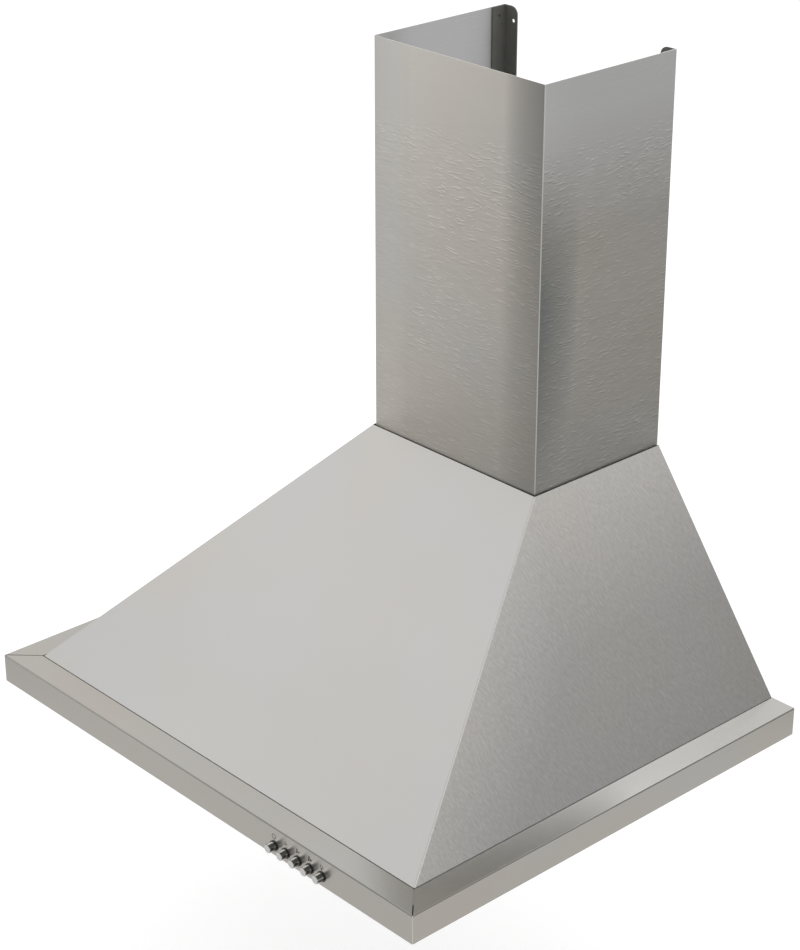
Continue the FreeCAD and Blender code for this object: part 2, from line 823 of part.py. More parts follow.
def make_volute_half(name, side):
    """One half of the moulded scroll housing, split in the middle of its width."""
    width = half_span(side, 0, scroll_half_width)
    inner_width = half_span(side, -past, scroll_half_width - scroll_wall)
    throat_y = (duct_axis - throat_outer, duct_axis + throat_outer)
    bore_y = (duct_axis - outlet_inner, duct_axis + outlet_inner)
    rim_low = plate_low - throat_rim_height

    outside = [
        rod(scroll_radius, (width[0], fan_axis, fan_level), scroll_half_width, "X"),
        box(width, throat_y, (fan_level, plate_low)),
        box(half_span(side, 0, rim_half), (duct_axis - rim_half, duct_axis + rim_half),
            (rim_low, plate_low))]
    hollow = [
        rod(scroll_radius - scroll_wall, (inner_width[0], fan_axis, fan_level),
            inner_width[1] - inner_width[0], "X"),
        box(inner_width, bore_y, (fan_level, plate_low + past)),
        rod(inlet_radius, (inner_width[0], fan_axis, fan_level),
            scroll_half_width + 2 * past, "X") if side > 0 else
        rod(inlet_radius, (width[0] - past, fan_axis, fan_level),
            scroll_half_width + 2 * past, "X")]
    lug_x = half_span(side, 0, lug_length)
    for y, z in volute_lug_places():
        outside.append(rod(lug_radius, (lug_x[0], y, z), lug_length, "X"))
        hollow.append(rod(screw_radius, (lug_x[0] - past, y, z), lug_length + 2 * past, "X"))
    for x, y in blower_screw_places():
        if x.value * side > 0:
            hollow.append(rod(screw_radius, (x, y, rim_low - past),
                              throat_rim_height + 2 * past))
    if side < 0:
        for z in bracket_screw_levels():
            hollow.append(rod(screw_radius, (width[0] - past, fan_axis, z),
                              scroll_wall + 2 * past, "X"))
    return node(name, cut(fuse(*outside), *hollow))


def make_blower_screws():
    node("volute_screws", group(*[
        screw((lug_length, y, z), 2 * lug_length, "X") for y, z in volute_lug_places()]))
    node("blower_screws", group(*[
        screw((x, y, plate_top), steel + throat_rim_height)
        for x, y in blower_screw_places()]))


motor_left = -(scroll_half_width - grommet_height)
motor_right = motor_left + motor_length
shaft_start = motor_left + fit_gap


def make_impeller():
    """The double-inlet fan wheel: hub and disc in the middle, blades between two rings."""
    body = new_body("impeller")
    ring_inner = wheel_radius - wheel_ring

    hub = circle(sketch(body, "YZ_Plane", -wheel_disc), 0, 0, hub_radius)
    pad(body, hub, hub_length)
    disc = circle(sketch(body, "YZ_Plane"), 0, 0, wheel_radius - blade_thickness)
    pad(body, disc, wheel_disc, both_ways=True)
    for offset in (-wheel_half_length, wheel_half_length - wheel_ring_height):
        ring = sketch(body, "YZ_Plane", offset)
        circle(ring, 0, 0, wheel_radius)
        circle(ring, 0, 0, ring_inner)
        pad(body, ring, wheel_ring_height)

    inner = ring_inner + blade_thickness
    outer = wheel_radius - blade_thickness
    blade = outline(sketch(body, "YZ_Plane"), (
        (inner, 0), (outer, blade_sweep), (outer, blade_sweep + blade_thickness),
        (inner, blade_thickness)))
    first_blade = pad(body, blade, 2 * wheel_half_length - wheel_ring_height, both_ways=True)
    pattern = body.newObject("PartDesign::PolarPattern", "blades")
    pattern.Originals = [first_blade]
    pattern.Axis = (origin_feature(body, "X_Axis"), [""])
    pattern.Angle = 360
    pattern.Occurrences = blade_count
    body.Tip = pattern
    document.recompute()

    bore = circle(sketch(body, "YZ_Plane", -wheel_disc), 0, 0, shaft_radius)
    pocket(body, bore, hub_length, along_normal=True)
    place(body, (0, fan_axis, fan_level))
    return node("impeller", body)


def motor_screw_places():
    return [(fan_axis + motor_screw_circle * math.cos(math.radians(angle)),
             fan_level + motor_screw_circle * math.sin(math.radians(angle)))
            for angle in (90, 210, 330)]


def bracket_screw_levels():
    reach = inlet_radius + screw_head
    return fan_level - reach, fan_level + reach


def make_motor():
    """Motor, shaft and bearings on the fan's axis, hung in one inlet on a bar."""
    screw_grip = 3 * grommet_height
    axis_y, axis_z = fan_axis, fan_level
    motor_cuts = [
        rod(shaft_radius + past, (motor_left - past, axis_y, axis_z),
            motor_length + 2 * past, "X"),
        rod(bearing_radius, (motor_left - past, axis_y, axis_z),
            bearing_length + past, "X"),
        rod(bearing_radius, (motor_right - bearing_length, axis_y, axis_z),
            bearing_length + past, "X")]
    for y, z in motor_screw_places():
        motor_cuts.append(rod(screw_radius, (motor_left - past, y, z),
                              screw_grip + past, "X"))
    node("motor_body", cut(
        rod(motor_radius, (motor_left, axis_y, axis_z), motor_length, "X"), *motor_cuts))
    node("motor_shaft", rod(shaft_radius, (shaft_start, axis_y, axis_z),
                            hub_length - wheel_disc - shaft_start, "X"))
    node("motor_bearings", group(*[
        cut(rod(bearing_radius, (start, axis_y, axis_z), bearing_length, "X"),
            rod(shaft_radius + running_gap, (start - past, axis_y, axis_z),
                bearing_length + 2 * past, "X"))
        for start in (motor_left, motor_right - bearing_length)]))

    bar_left = -(scroll_half_width + bracket_bar_steel)
    low, high = bracket_screw_levels()
    bar_half = bracket_bar_width / 2
    bar = fuse(
        box((bar_left, -scroll_half_width), (axis_y - bar_half, axis_y + bar_half),
            (low - screw_head, high + screw_head)),
        rod(motor_screw_circle + grommet_radius, (bar_left, axis_y, axis_z),
            bracket_bar_steel, "X"))
    bar_cuts = []
    for y, z in motor_screw_places() + [(axis_y, low), (axis_y, high)]:
        bar_cuts.append(rod(screw_radius, (bar_left - past, y, z),
                            bracket_bar_steel + 2 * past, "X"))
    node("motor_bracket", cut(bar, *bar_cuts))
    node("motor_grommets", group(*[
        cut(rod(grommet_radius, (-scroll_half_width, y, z), grommet_height, "X"),
            rod(screw_radius, (-scroll_half_width - past, y, z),
                grommet_height + 2 * past, "X"))
        for y, z in motor_screw_places()]))
    motor_screws = [
        screw((bar_left, y, z), bracket_bar_steel + grommet_height + screw_grip - past,
              "X", outward=-1)
        for y, z in motor_screw_places()]
    bracket_screws = [
        screw((bar_left, axis_y, z), bracket_bar_steel + scroll_wall, "X", outward=-1)
        for z in (low, high)]
    node("motor_screws", group(*motor_screws, *bracket_screws))


# ---------------------------------------------------------------- electrical parts

box_x = (box_side_place, box_side_place + box_width)
box_y = (-(box_rear_place + box_length), -box_rear_place)
box_low = plate_low - box_height
gland_x = box_side_place + box_width / 2
gland_y = -gland_place


def make_terminal_box():
    """A moulded box under the top plate with the run capacitor in it."""
    inner_x = (box_x[0] + box_wall, box_x[1] - box_wall)
    inner_y = (box_y[0] + box_wall, box_y[1] - box_wall)
    middle_x = (box_x[0] + box_x[1]) / 2
    lid_low = box_low - box_wall
    lead_hole = rod(lead_radius + fit_gap, (middle_x, lead_y, lid_low - past),
                    box_wall + 2 * past)
    node("terminal_box", cut(
        box(box_x, box_y, (box_low, plate_low)),
        box(inner_x, inner_y, (box_low - past, plate_low - box_wall))))
    node("terminal_box_lid", cut(box(box_x, box_y, (lid_low, box_low)), lead_hole))
    capacitor_y = (inner_y[0] + fit_gap, inner_y[0] + fit_gap + capacitor_length)
    capacitor_x = (middle_x - capacitor_width / 2, middle_x + capacitor_width / 2)
    node("capacitor", box(capacitor_x, capacitor_y,
                          (plate_low - box_wall - capacitor_width, plate_low - box_wall)))


lead_y = -(box_rear_place + box_length / 4)


def make_cable_gland():
    """The bushing in the top plate through which the mains supply would enter."""
    rim = gland_radius + gland_rim
    node("cable_gland", cut(
        fuse(
            rod(rim, (gland_x, gland_y, plate_top), gland_height),
            rod(gland_radius, (gland_x, gland_y, plate_low - gland_depth),
                gland_depth + steel + past),
            rod(rim, (gland_x, gland_y, plate_low - gland_height), gland_height)),
        rod(gland_bore, (gland_x, gland_y, plate_low - gland_depth - past),
            gland_depth + steel + gland_height + 2 * past)))


def route_wire(points):
    """Straight runs with tangent arcs between them, through points given in sizes."""
    corners = [FreeCAD.Vector(*map(number, point)) for point in points]
    edges = []
    start = corners[0]
    for before, corner, after in zip(corners, corners[1:], corners[2:]):
        arriving = (corner - before).normalize()
        leaving = (after - corner).normalize()
        turn = arriving.getAngle(leaving)
        reach = 0.45 * min((corner - before).Length, (after - corner).Length)
        radius = reach / math.tan(turn / 2)
        print(f"lead bend radius {radius:.1f} mm")
        arc_start = corner - arriving * reach
        arc_end = corner + leaving * reach
        inward = (leaving - arriving).normalize()
        centre = corner + inward * (radius / math.cos(turn / 2))
        arc_middle = centre - inward * radius
        edges.append(Part.LineSegment(start, arc_start).toShape())
        edges.append(Part.Arc(arc_start, arc_middle, arc_end).toShape())
        start = arc_end
    edges.append(Part.LineSegment(start, corners[-1]).toShape())
    return Part.Wire(edges)


def make_switch_lead():
    """The lead held inside the canopy, from the terminal box to the switch block."""
    middle_x = (box_x[0] + box_x[1]) / 2
    inside_front = -(hood_depth - front_flange)
    points = (
        (middle_x, lead_y, box_low - box_wall - past / 2),
        (middle_x, lead_y, lead_level),
        (button_group_place, inside_front + 2 * lead_level, lead_level),
        (button_group_place, inside_front + lead_level / 2, lead_height_at_switch),
        (button_group_place, switch_rear, lead_height_at_switch))
    path = route_wire(points)
    start = FreeCAD.Vector(*map(number, points[0]))
    ring = Part.Circle(start, FreeCAD.Vector(0, 0, -1), number(lead_radius)).toShape()
    lead = document.addObject("Part::Feature", "switch_lead")
    lead.Shape = path.makePipeShell([Part.Wire([ring])], True, False)
    expected = math.pi * number(lead_radius) ** 2 * path.Length
    print(f"lead volume {lead.Shape.Volume:.0f}, section times length {expected:.0f}")
    return node("switch_lead", lead)


# ---------------------------------------------------------------- lower panel and filters

filter_low_x = filter_web / 2
filter_high_x = panel_half_width - filter_side_margin
opening_rear = -filter_rear_margin
opening_front = -(hood_depth - filter_front_margin)
rod_y = opening_rear - rod_setback
filter_front = opening_front + filter_gap
filter_rear = rod_y - hook_radius - fit_gap
filter_top = filter_underside + filter_thickness
filter_middle = (filter_low_x + filter_high_x) / 2


def panel_screw_places():
    x = hood_width / 2 - side_flange * 0.7
    return [(side * x, y) for side in sides.values()
            for y in (-hood_depth / 5, -hood_depth * 0.7)]


def make_under_panel():
    """The flat steel panel that closes the canopy from below, round filters and lamps."""
    half = panel_half_width
    holes = []
    for side in sides.values():
        opening = half_span(side, filter_low_x, filter_high_x)
        holes.append(box(opening, (opening_front, opening_rear),
                         (panel_level - past, panel_top + past)))
        holes.append(rod(lamp_radius + fit_gap, (side * lamp_place, lamp_y, panel_level - past),
                         steel + 2 * past))
    for x, y in panel_screw_places():
        holes.append(rod(screw_radius, (x, y, panel_level - past), steel + 2 * past))
    return node("under_panel", cut(
        box((-half, half), (panel_front, back_face), (panel_level, panel_top)), *holes))


def make_panel_skirt():
    """Four strips that stiffen the lower panel's edges and stand on the rim's flanges."""
    half = panel_half_width
    inner = half - steel
    level = (steel, panel_level)
    node("panel_skirt", group(
        box((-half, -inner), (panel_front, back_face), level),
        box((inner, half), (panel_front, back_face), level),
        box((-inner, inner), (panel_front, panel_front + steel), level),
        box((-inner, inner), (back_face - steel, back_face), level)))


def make_panel_brackets():
    """Four angles on the rim's inner faces that the lower panel is screwed to."""
    brackets = []
    screws = []
    wall = hood_width / 2 - steel
    for x, y in panel_screw_places():
        side = 1 if x.value > 0 else -1
        along_y = (y - bracket_width / 2, y + bracket_width / 2)
        foot = box(half_span(side, wall - bracket_leg, wall), along_y,
                   (panel_top, panel_top + angle_steel))
        upright = box(half_span(side, wall - angle_steel, wall), along_y,
                      (panel_top, panel_top + bracket_leg))
        hole = rod(screw_radius, (x, y, panel_top - past), angle_steel + 2 * past)
        brackets.append(cut(fuse(foot, upright), hole))
        screws.append(screw((x, y, panel_level), 3 * angle_steel, outward=-1))
    node("panel_brackets", group(*brackets))
    node("panel_screws", group(*screws))


def make_filter_rods():
    """A hinge rod across the rear of each filter opening, held in a lug at each end."""
    rods = []
    lugs = []
    lug_y = (rod_y - hook_radius, rod_y + hook_radius)
    lug_z = (rod_level - hook_radius, panel_level)
    for side in sides.values():
        start, end = half_span(side, filter_low_x - rod_lug, filter_high_x + rod_lug)
        rods.append(rod(rod_radius, (start, rod_y, rod_level), end - start, "X"))
        for lug_x in ((start, start + rod_lug), (end - rod_lug, end)):
            bore = rod(rod_radius, (lug_x[0] - past, rod_y, rod_level), rod_lug + 2 * past, "X")
            lugs.append(cut(box(lug_x, lug_y, lug_z), bore))
    node("filter_rods", group(*rods))
    node("rod_lugs", group(*lugs))


def make_filter_frame(name, side):
    """The aluminium frame of a grease filter, hooked over its rod at the rear."""
    low_x = filter_low_x + filter_gap
    high_x = filter_high_x - filter_gap
    window = half_span(side, low_x + filter_border, high_x - filter_border)
    window_y = (filter_front + filter_grip_border, filter_rear - filter_border)
    groove = (window[0] - mesh_groove, window[1] + mesh_groove)
    groove_y = (window_y[0] - mesh_groove, window_y[1] + mesh_groove)
    groove_low = filter_underside + mesh_level
    middle = side * filter_middle

    solids = [box(half_span(side, low_x, high_x), (filter_front, filter_rear),
                  (filter_underside, filter_top))]
    cuts = [
        box(window, window_y, (filter_underside - past, filter_top + past)),
        box(groove, groove_y, (groove_low, groove_low + mesh_thickness))]
    for end in (-1, 1):
        hook_start = middle + end * hook_offset - hook_width / 2
        solids.append(rod(hook_radius, (hook_start, rod_y, rod_level), hook_width, "X"))
        solids.append(box((hook_start, hook_start + hook_width), (filter_rear - past, rod_y),
                          (rod_level - hook_radius, rod_level)))
        cuts.append(rod(rod_radius + running_gap, (hook_start - past, rod_y, rod_level),
                        hook_width + 2 * past, "X"))
        cuts.append(box((hook_start - past, hook_start + hook_width + past),
                        (rod_y, rod_y + hook_radius + past),
                        (rod_level - rod_radius, rod_level + rod_radius)))

    pocket_y = (filter_front + latch_front_wall, latch_rear + latch_travel + 2 * fit_gap)
    shaft_half = latch_half_width - latch_shoulder
    track_half = latch_half_width + fit_gap
    cuts.append(box((middle - shaft_half, middle + shaft_half), pocket_y,
                    (filter_underside - past, filter_top + past)))
    cuts.append(box((middle - track_half, middle + track_half), pocket_y,
                    (latch_low - running_gap, latch_low + latch_plate + running_gap)))
    tongue_half = tongue_half_width + fit_gap
    cuts.append(box((middle - tongue_half, middle + tongue_half),
                    (filter_front - past, pocket_y[0] + past),
                    (tongue_low - running_gap, filter_top + past)))
    return node(name, cut(fuse(*solids), *cuts))


def make_filter_mesh(name, side):
    """The filter's mesh: one flat face with a diamond in each cell of its grid."""
    low_x = filter_low_x + filter_gap + filter_border
    high_x = filter_high_x - filter_gap - filter_border
    front = filter_front + filter_grip_border
    rear = filter_rear - filter_border
    left, right = (number(amount) for amount in half_span(side, low_x, high_x))
    front, rear = number(front), number(rear)
    lip = number(mesh_groove - fit_gap)
    level = number(filter_underside + mesh_level)
    strand = number(mesh_strand)
    cell_x = (right - left) / mesh_columns
    cell_y = (rear - front) / mesh_rows
    half_x = (cell_x - strand) / 2
    half_y = (cell_y - strand) / 2

    def loop(corners):
        points = [FreeCAD.Vector(x, y, level) for x, y in corners]
        return Part.makePolygon(points + points[:1])

    outer = loop(((left - lip, front - lip), (right + lip, front - lip),
                  (right + lip, rear + lip), (left - lip, rear + lip)))
    holes = []
    for column in range(mesh_columns):
        for row in range(mesh_rows):
            x = left + (column + 0.5) * cell_x
            y = front + (row + 0.5) * cell_y
            holes.append(loop(((x - half_x, y), (x, y + half_y), (x + half_x, y),
                               (x, y - half_y))))
    mesh = document.addObject("Part::Feature", name)
    net = Part.Face([outer] + holes)
    mesh.Shape = net.extrude(FreeCAD.Vector(0, 0, number(mesh_thickness)))
    return node(name, mesh)


tongue_half_width = latch_grip_half_width - past
tongue_low = panel_top + fit_gap
latch_low = filter_underside + latch_plate * 2
latch_front = filter_front + latch_front_wall + fit_gap
latch_rear = latch_front + latch_length


def make_filter_latch(name, side):
    """The sliding catch in the filter's front edge; its tongue stops short of the panel."""
    middle = side * filter_middle
    grip = latch_grip_half_width
    plate_high = latch_low + latch_plate
    node(name, fuse(
        box((middle - latch_half_width, middle + latch_half_width),
            (latch_front, latch_rear), (latch_low, plate_high)),
        box((middle - grip, middle + grip), (latch_front + latch_length / 4, latch_rear),
            (filter_underside + fit_gap, latch_low)),
        box((middle - tongue_half_width, middle + tongue_half_width),
            (latch_front, latch_front + latch_length / 2), (plate_high, tongue_low)),
        box((middle - tongue_half_width, middle + tongue_half_width),
            (opening_front + fit_gap, latch_front + latch_length / 2),
            (tongue_low, tongue_low + tongue_thickness))))


# ---------------------------------------------------------------- lamps

def make_lamp(name, side):
    """A round lamp in the lower panel: can, chrome ring and frosted lens."""
    x, y = side * lamp_place, lamp_y
    inner = lamp_radius - lamp_wall
    lens = inner - running_gap
    node(f"lamp_can_{name}", cut(
        rod(lamp_radius, (x, y, panel_level), lamp_height),
        rod(inner, (x, y, panel_level - past), lamp_height - lamp_wall + past)))
    node(f"lamp_ring_{name}", cut(
        rod(lamp_ring_radius, (x, y, panel_level - lamp_ring_height), lamp_ring_height),
        rod(lens - lamp_lip, (x, y, panel_level - lamp_ring_height - past),
            lamp_ring_height + 2 * past)))
    node(f"lamp_lens_{name}", rod(lens, (x, y, panel_level), lens_thickness))


# ---------------------------------------------------------------- push buttons

bezel_hole = button_radius + fit_gap + bezel_wall
bezel_bore = button_radius + fit_gap
switch_front = fascia + button_reach + button_travel + 2 * past
switch_rear = switch_front + switch_depth
switch_half_width = 2 * button_pitch + switch_end
lead_height_at_switch = panel_top + lead_radius + 2 * past
strap_screw_setback = switch_front + switch_depth / 2


def button_places():
    return [button_group_place + (index - 2) * button_pitch for index in range(5)]


def strap_screw_places():
    reach = switch_half_width + strap_steel + strap_foot / 2
    return [button_group_place + side * reach for side in sides.values()]


def make_button(name, x):
    """A turned push button: cap, retaining collar and stem, in one turned piece."""
    body = new_body(name)
    front = -button_reach
    collar_start = bezel_depth + fit_gap
    collar_end = collar_start + button_collar
    cap_end = button_reach
    stem_end = button_reach + past + switch_depth
    profile = outline(sketch(body, "YZ_Plane"), (
        (front, 0), (stem_end, 0), (stem_end, button_stem), (cap_end, button_stem),
        (cap_end, button_radius), (collar_end, button_radius),
        (collar_end, button_radius + button_collar),
        (collar_start, button_radius + button_collar), (collar_start, button_radius),
        (front + button_edge, button_radius), (front, button_radius - button_edge)))
    turned = body.newObject("PartDesign::Revolution", "turned")
    turned.Profile = profile
    turned.ReferenceAxis = (profile, ["H_Axis"])
    turned.Angle = 360
    document.recompute()
    place(body, (x, fascia, button_level))
    return node(name, body)


def make_controls():
    """Bezels in the fascia, the switch block behind it and the strap that holds it."""
    bezels = []
    stem_bores = []
    for x in button_places():
        bezels.append(cut(
            fuse(
                rod(bezel_radius, (x, fascia - bezel_proud, button_level), bezel_proud, "Y"),
                rod(bezel_hole, (x, fascia, button_level), bezel_depth, "Y")),
            rod(bezel_bore, (x, fascia - bezel_proud - past, button_level),
                bezel_depth + bezel_proud + 2 * past, "Y")))
        stem_bores.append(rod(button_stem + fit_gap, (x, switch_front - past, button_level),
                              switch_depth, "Y"))
    node("button_bezels", group(*bezels))

    low = steel
    high = steel + switch_height
    block_x = (button_group_place - switch_half_width, button_group_place + switch_half_width)
    node("switch_block", cut(
        box(block_x, (switch_front, switch_rear), (low, high)), *stem_bores))

    leg_x = (block_x[0] - strap_steel, block_x[1] + strap_steel)
    foot_x = (leg_x[0] - strap_foot, leg_x[1] + strap_foot)
    strap_y = (switch_front + switch_depth / 4, switch_rear - switch_depth / 4)
    strap = cut(
        fuse(
            box(leg_x, strap_y, (low, high + strap_steel)),
            box(foot_x, strap_y, (low, low + strap_steel))),
        box(block_x, (strap_y[0] - past, strap_y[1] + past), (low - past, high)),
        *[rod(screw_radius, (x, strap_screw_setback, low - past), strap_steel + 2 * past)
          for x in strap_screw_places()])
    node("switch_strap", strap)
    node("switch_screws", group(*[
        screw((x, strap_screw_setback, low + strap_steel), strap_steel + steel)
        for x in strap_screw_places()]))


# ---------------------------------------------------------------- assembly and export

def build():
    make_rim()
    make_canopy_shell()
    make_foot_strips()
    make_back_plate()
    make_top_plate()
    make_neck_strips()
    make_duct_cover()
    for name, side in sides.items():
        make_corner_angle(f"corner_angle_{name}", side)
    make_cover_brackets()
    make_outlet_collar()
    make_damper_flap("damper_flap_front", -1, 0)
    make_damper_flap("damper_flap_rear", 1, 1)
    for name, side in sides.items():
        make_volute_half(f"volute_{name}", side)
    make_blower_screws()
    make_impeller()
    make_motor()
    make_terminal_box()
    make_cable_gland()
    make_switch_lead()
    make_under_panel()
    make_panel_skirt()
    make_panel_brackets()
    make_filter_rods()
    for name, side in sides.items():
        make_filter_frame(f"filter_frame_{name}", side)
        make_filter_mesh(f"filter_mesh_{name}", side)
        make_filter_latch(f"filter_latch_{name}", side)
        make_lamp(name, side)
    for name, x in zip(button_names, button_places()):
        make_button(f"button_{name}", x)
    make_controls()
    document.recompute()


def check():
    """Stop if any object failed or any finished shape is empty or invalid."""
    for item in document.Objects:
        if "Invalid" in item.State or "Error" in item.State:
            raise ValueError(f"{item.Label} failed: {item.State}")
    for piece in nodes:
        if piece.Shape.isNull() or not piece.Shape.isValid() or not piece.Shape.Solids:
            raise ValueError(f"{piece.Label} has no valid solid")


def export():
    os.makedirs("parts", exist_ok=True)
    for piece in nodes:
        piece.Shape.exportStep(f"parts/{piece.Label}.step")
    print(f"{len(nodes)} nodes written")


build()
check()
export()
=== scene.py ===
import json
import math

import bmesh
import bpy
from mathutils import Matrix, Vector


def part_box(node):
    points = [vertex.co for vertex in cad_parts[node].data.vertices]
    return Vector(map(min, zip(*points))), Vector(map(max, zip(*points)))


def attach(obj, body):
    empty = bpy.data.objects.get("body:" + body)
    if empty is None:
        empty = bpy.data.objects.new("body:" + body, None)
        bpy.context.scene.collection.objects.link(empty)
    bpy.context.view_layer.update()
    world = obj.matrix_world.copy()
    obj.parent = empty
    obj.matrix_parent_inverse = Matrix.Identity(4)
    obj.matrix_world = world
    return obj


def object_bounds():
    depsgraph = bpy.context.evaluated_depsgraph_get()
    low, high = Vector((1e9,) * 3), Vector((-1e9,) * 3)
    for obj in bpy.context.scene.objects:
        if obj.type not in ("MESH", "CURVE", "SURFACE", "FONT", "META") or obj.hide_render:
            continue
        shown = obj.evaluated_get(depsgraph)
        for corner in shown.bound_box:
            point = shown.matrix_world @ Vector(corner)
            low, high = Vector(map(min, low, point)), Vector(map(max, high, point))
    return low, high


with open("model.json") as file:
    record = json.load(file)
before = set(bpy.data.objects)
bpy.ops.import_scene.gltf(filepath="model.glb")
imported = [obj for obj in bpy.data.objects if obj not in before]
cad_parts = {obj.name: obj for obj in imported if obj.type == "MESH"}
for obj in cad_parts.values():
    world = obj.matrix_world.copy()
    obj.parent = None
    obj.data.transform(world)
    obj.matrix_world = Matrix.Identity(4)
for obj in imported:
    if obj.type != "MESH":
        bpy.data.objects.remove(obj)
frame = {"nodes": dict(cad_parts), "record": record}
cad_low, cad_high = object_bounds()
nodes = frame["nodes"]


# ---------------------------------------------------------------- node trees

class Graph:
    """The node tree of one material, with short calls for the nodes that finishes use."""

    def __init__(self, name):
        self.material = bpy.data.materials.new(name)
        self.material.use_nodes = True
        self.tree = self.material.node_tree
        self.shader = self.tree.nodes["Principled BSDF"]
        self.position = self.add("ShaderNodeTexCoord").outputs["Object"]

    def add(self, kind, **settings):
        made = self.tree.nodes.new(kind)
        for key, value in settings.items():
            setattr(made, key, value)
        return made

    def feed(self, socket, value):
        """Link an output into a socket, or set the socket's own value."""
        if isinstance(value, bpy.types.NodeSocket):
            self.tree.links.new(value, socket)
        else:
            socket.default_value = value

    def set(self, **values):
        """Feed the shader's sockets, with _ for the spaces in their names."""
        for name, value in values.items():
            self.feed(self.shader.inputs[name.replace("_", " ")], value)

    def math(self, operation, *values):
        made = self.add("ShaderNodeMath", operation=operation)
        for socket, value in zip(made.inputs, values):
            self.feed(socket, value)
        return made.outputs[0]

    def vector(self, operation, *values):
        made = self.add("ShaderNodeVectorMath", operation=operation)
        for socket, value in zip(made.inputs, values):
            self.feed(socket, value)
        return made.outputs["Vector"]

    def dot(self, first, second):
        made = self.add("ShaderNodeVectorMath", operation="DOT_PRODUCT")
        self.feed(made.inputs[0], first)
        self.feed(made.inputs[1], second)
        return made.outputs["Value"]

    def scaled(self, vector, factor):
        made = self.add("ShaderNodeVectorMath", operation="SCALE")
        self.feed(made.inputs[0], vector)
        self.feed(made.inputs["Scale"], factor)
        return made.outputs["Vector"]

    def separate(self, vector):
        made = self.add("ShaderNodeSeparateXYZ")
        self.feed(made.inputs[0], vector)
        return made.outputs

    def combine(self, x, y, z):
        made = self.add("ShaderNodeCombineXYZ")
        for socket, value in zip(made.inputs, (x, y, z)):
            self.feed(socket, value)
        return made.outputs[0]

    def normal(self):
        return self.add("ShaderNodeNewGeometry").outputs["Normal"]

    def height(self):
        return self.separate(self.position)[2]

    def sideways(self):
        """How far a face looks to either side."""
        return self.magnitude(self.separate(self.normal())[0])

    def upward(self):
        """How far a face looks up."""
        return self.separate(self.normal())[2]

    def magnitude(self, value):
        return self.math("ABSOLUTE", value)

    def times(self, first, second):
        return self.math("MULTIPLY", first, second)

    def minus(self, first, second):
        return self.math("SUBTRACT", first, second)

    def over(self, value, limit):
        """1 where a value is over a limit, and 0 elsewhere."""
        return self.math("GREATER_THAN", value, limit)

    def under(self, value, limit):
        """1 where a value is under a limit, and 0 elsewhere."""
        return self.math("LESS_THAN", value, limit)

    def noise(self, vector, scale=1.0, detail=2.0):
        made = self.add("ShaderNodeTexNoise")
        self.feed(made.inputs["Vector"], vector)
        self.feed(made.inputs["Scale"], scale)
        self.feed(made.inputs["Detail"], detail)
        return made.outputs["Fac"]

    def cells(self, vector, scale):
        made = self.add("ShaderNodeTexVoronoi")
        self.feed(made.inputs["Vector"], vector)
        self.feed(made.inputs["Scale"], scale)
        return made.outputs["Distance"]

    def remap(self, value, low, high, to_low=0.0, to_high=1.0):
        made = self.add("ShaderNodeMapRange")
        for socket, amount in zip(made.inputs, (value, low, high, to_low, to_high)):
            self.feed(socket, amount)
        return made.outputs[0]

    def spread(self, texture, to_low, to_high):
        """A texture's usual range, spread from one value to another."""
        return self.remap(texture, TEXTURE_LOW, TEXTURE_HIGH, to_low, to_high)

    def mix(self, factor, first, second):
        """Blend two colours, or two vectors, by a factor."""
        made = self.add("ShaderNodeMix", data_type="RGBA")
        self.feed(made.inputs[0], factor)
        self.feed(made.inputs[6], as_colour(first))
        self.feed(made.inputs[7], as_colour(second))
        return made.outputs[2]

    def bump(self, height, distance):
        made = self.add("ShaderNodeBump")
        self.feed(made.inputs["Height"], height)
        self.feed(made.inputs["Distance"], distance)
        self.feed(made.inputs["Strength"], 1.0)
        return made.outputs["Normal"]

    def stretched(self, position, direction, along, across):
        """Coordinates with one number of cells per metre along a direction and another
        across it."""
        length = self.dot(position, direction)
        run = self.scaled(direction, self.times(length, across - along))
        return self.vector("SUBTRACT", self.scaled(position, across), run)


# The usual range of a noise texture's values.
TEXTURE_LOW = 0.3
TEXTURE_HIGH = 0.7


def as_colour(value):
    if isinstance(value, bpy.types.NodeSocket) or len(value) == 4:
        return value
    return (*value, 1.0)


def shade(colour, factor):
    return tuple(channel * factor for channel in colour)


# ---------------------------------------------------------------- places on the sheets

cover_low, cover_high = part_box("duct_cover")
COVER_HALF = cover_high.x
COVER_FRONT = cover_low.y
COVER_TOP = cover_high.z
COVER_AXIS = (cover_low.y + cover_high.y) / 2
HALF_WIDTH = cad_high.x
DEPTH = -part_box("rim")[0].y

# The ledge's width, and how far the painted shade lines reach at its mitres and its inner edge.
LEDGE_WIDTH = 0.0276
MITRE_SHADE = 0.0008
EDGE_SHADE = 0.0004

# The canopy's front face lies along y = SHELL_FOOT_FRONT + SHELL_SLOPE * z.
SHELL_FOOT_FRONT = -0.512
SHELL_SLOPE = 1.396

# Which way a face looks, as the part of its normal that the functions below compare.
SHELL_SIDE = 0.4
COVER_SIDE = 0.6
COVER_FRONT_FACE = -0.6
FASCIA_FACE = -0.97
LEDGE_FACE = 0.985
CUT_EDGE_FACE = 0.97
SEAM_FACE = 0.9
BEND_START = 0.12
FACE_TURNS = 0.3
FACE_TURNED = 0.7
CREST_SIDEWAYS = 0.42
CREST_FORWARD = 0.38


def inward(graph, half_width, front):
    """How far a point is in from the nearer side, and how far in from the front."""
    x, y, _ = graph.separate(graph.position)[:3]
    return graph.minus(half_width, graph.magnitude(x)), graph.minus(y, front)


def distance_from_fold(graph):
    """How far a point of the cover is from the nearer of its two front folds."""
    return graph.math("MAXIMUM", *inward(graph, COVER_HALF, COVER_FRONT))


# ---------------------------------------------------------------- directions of the grain

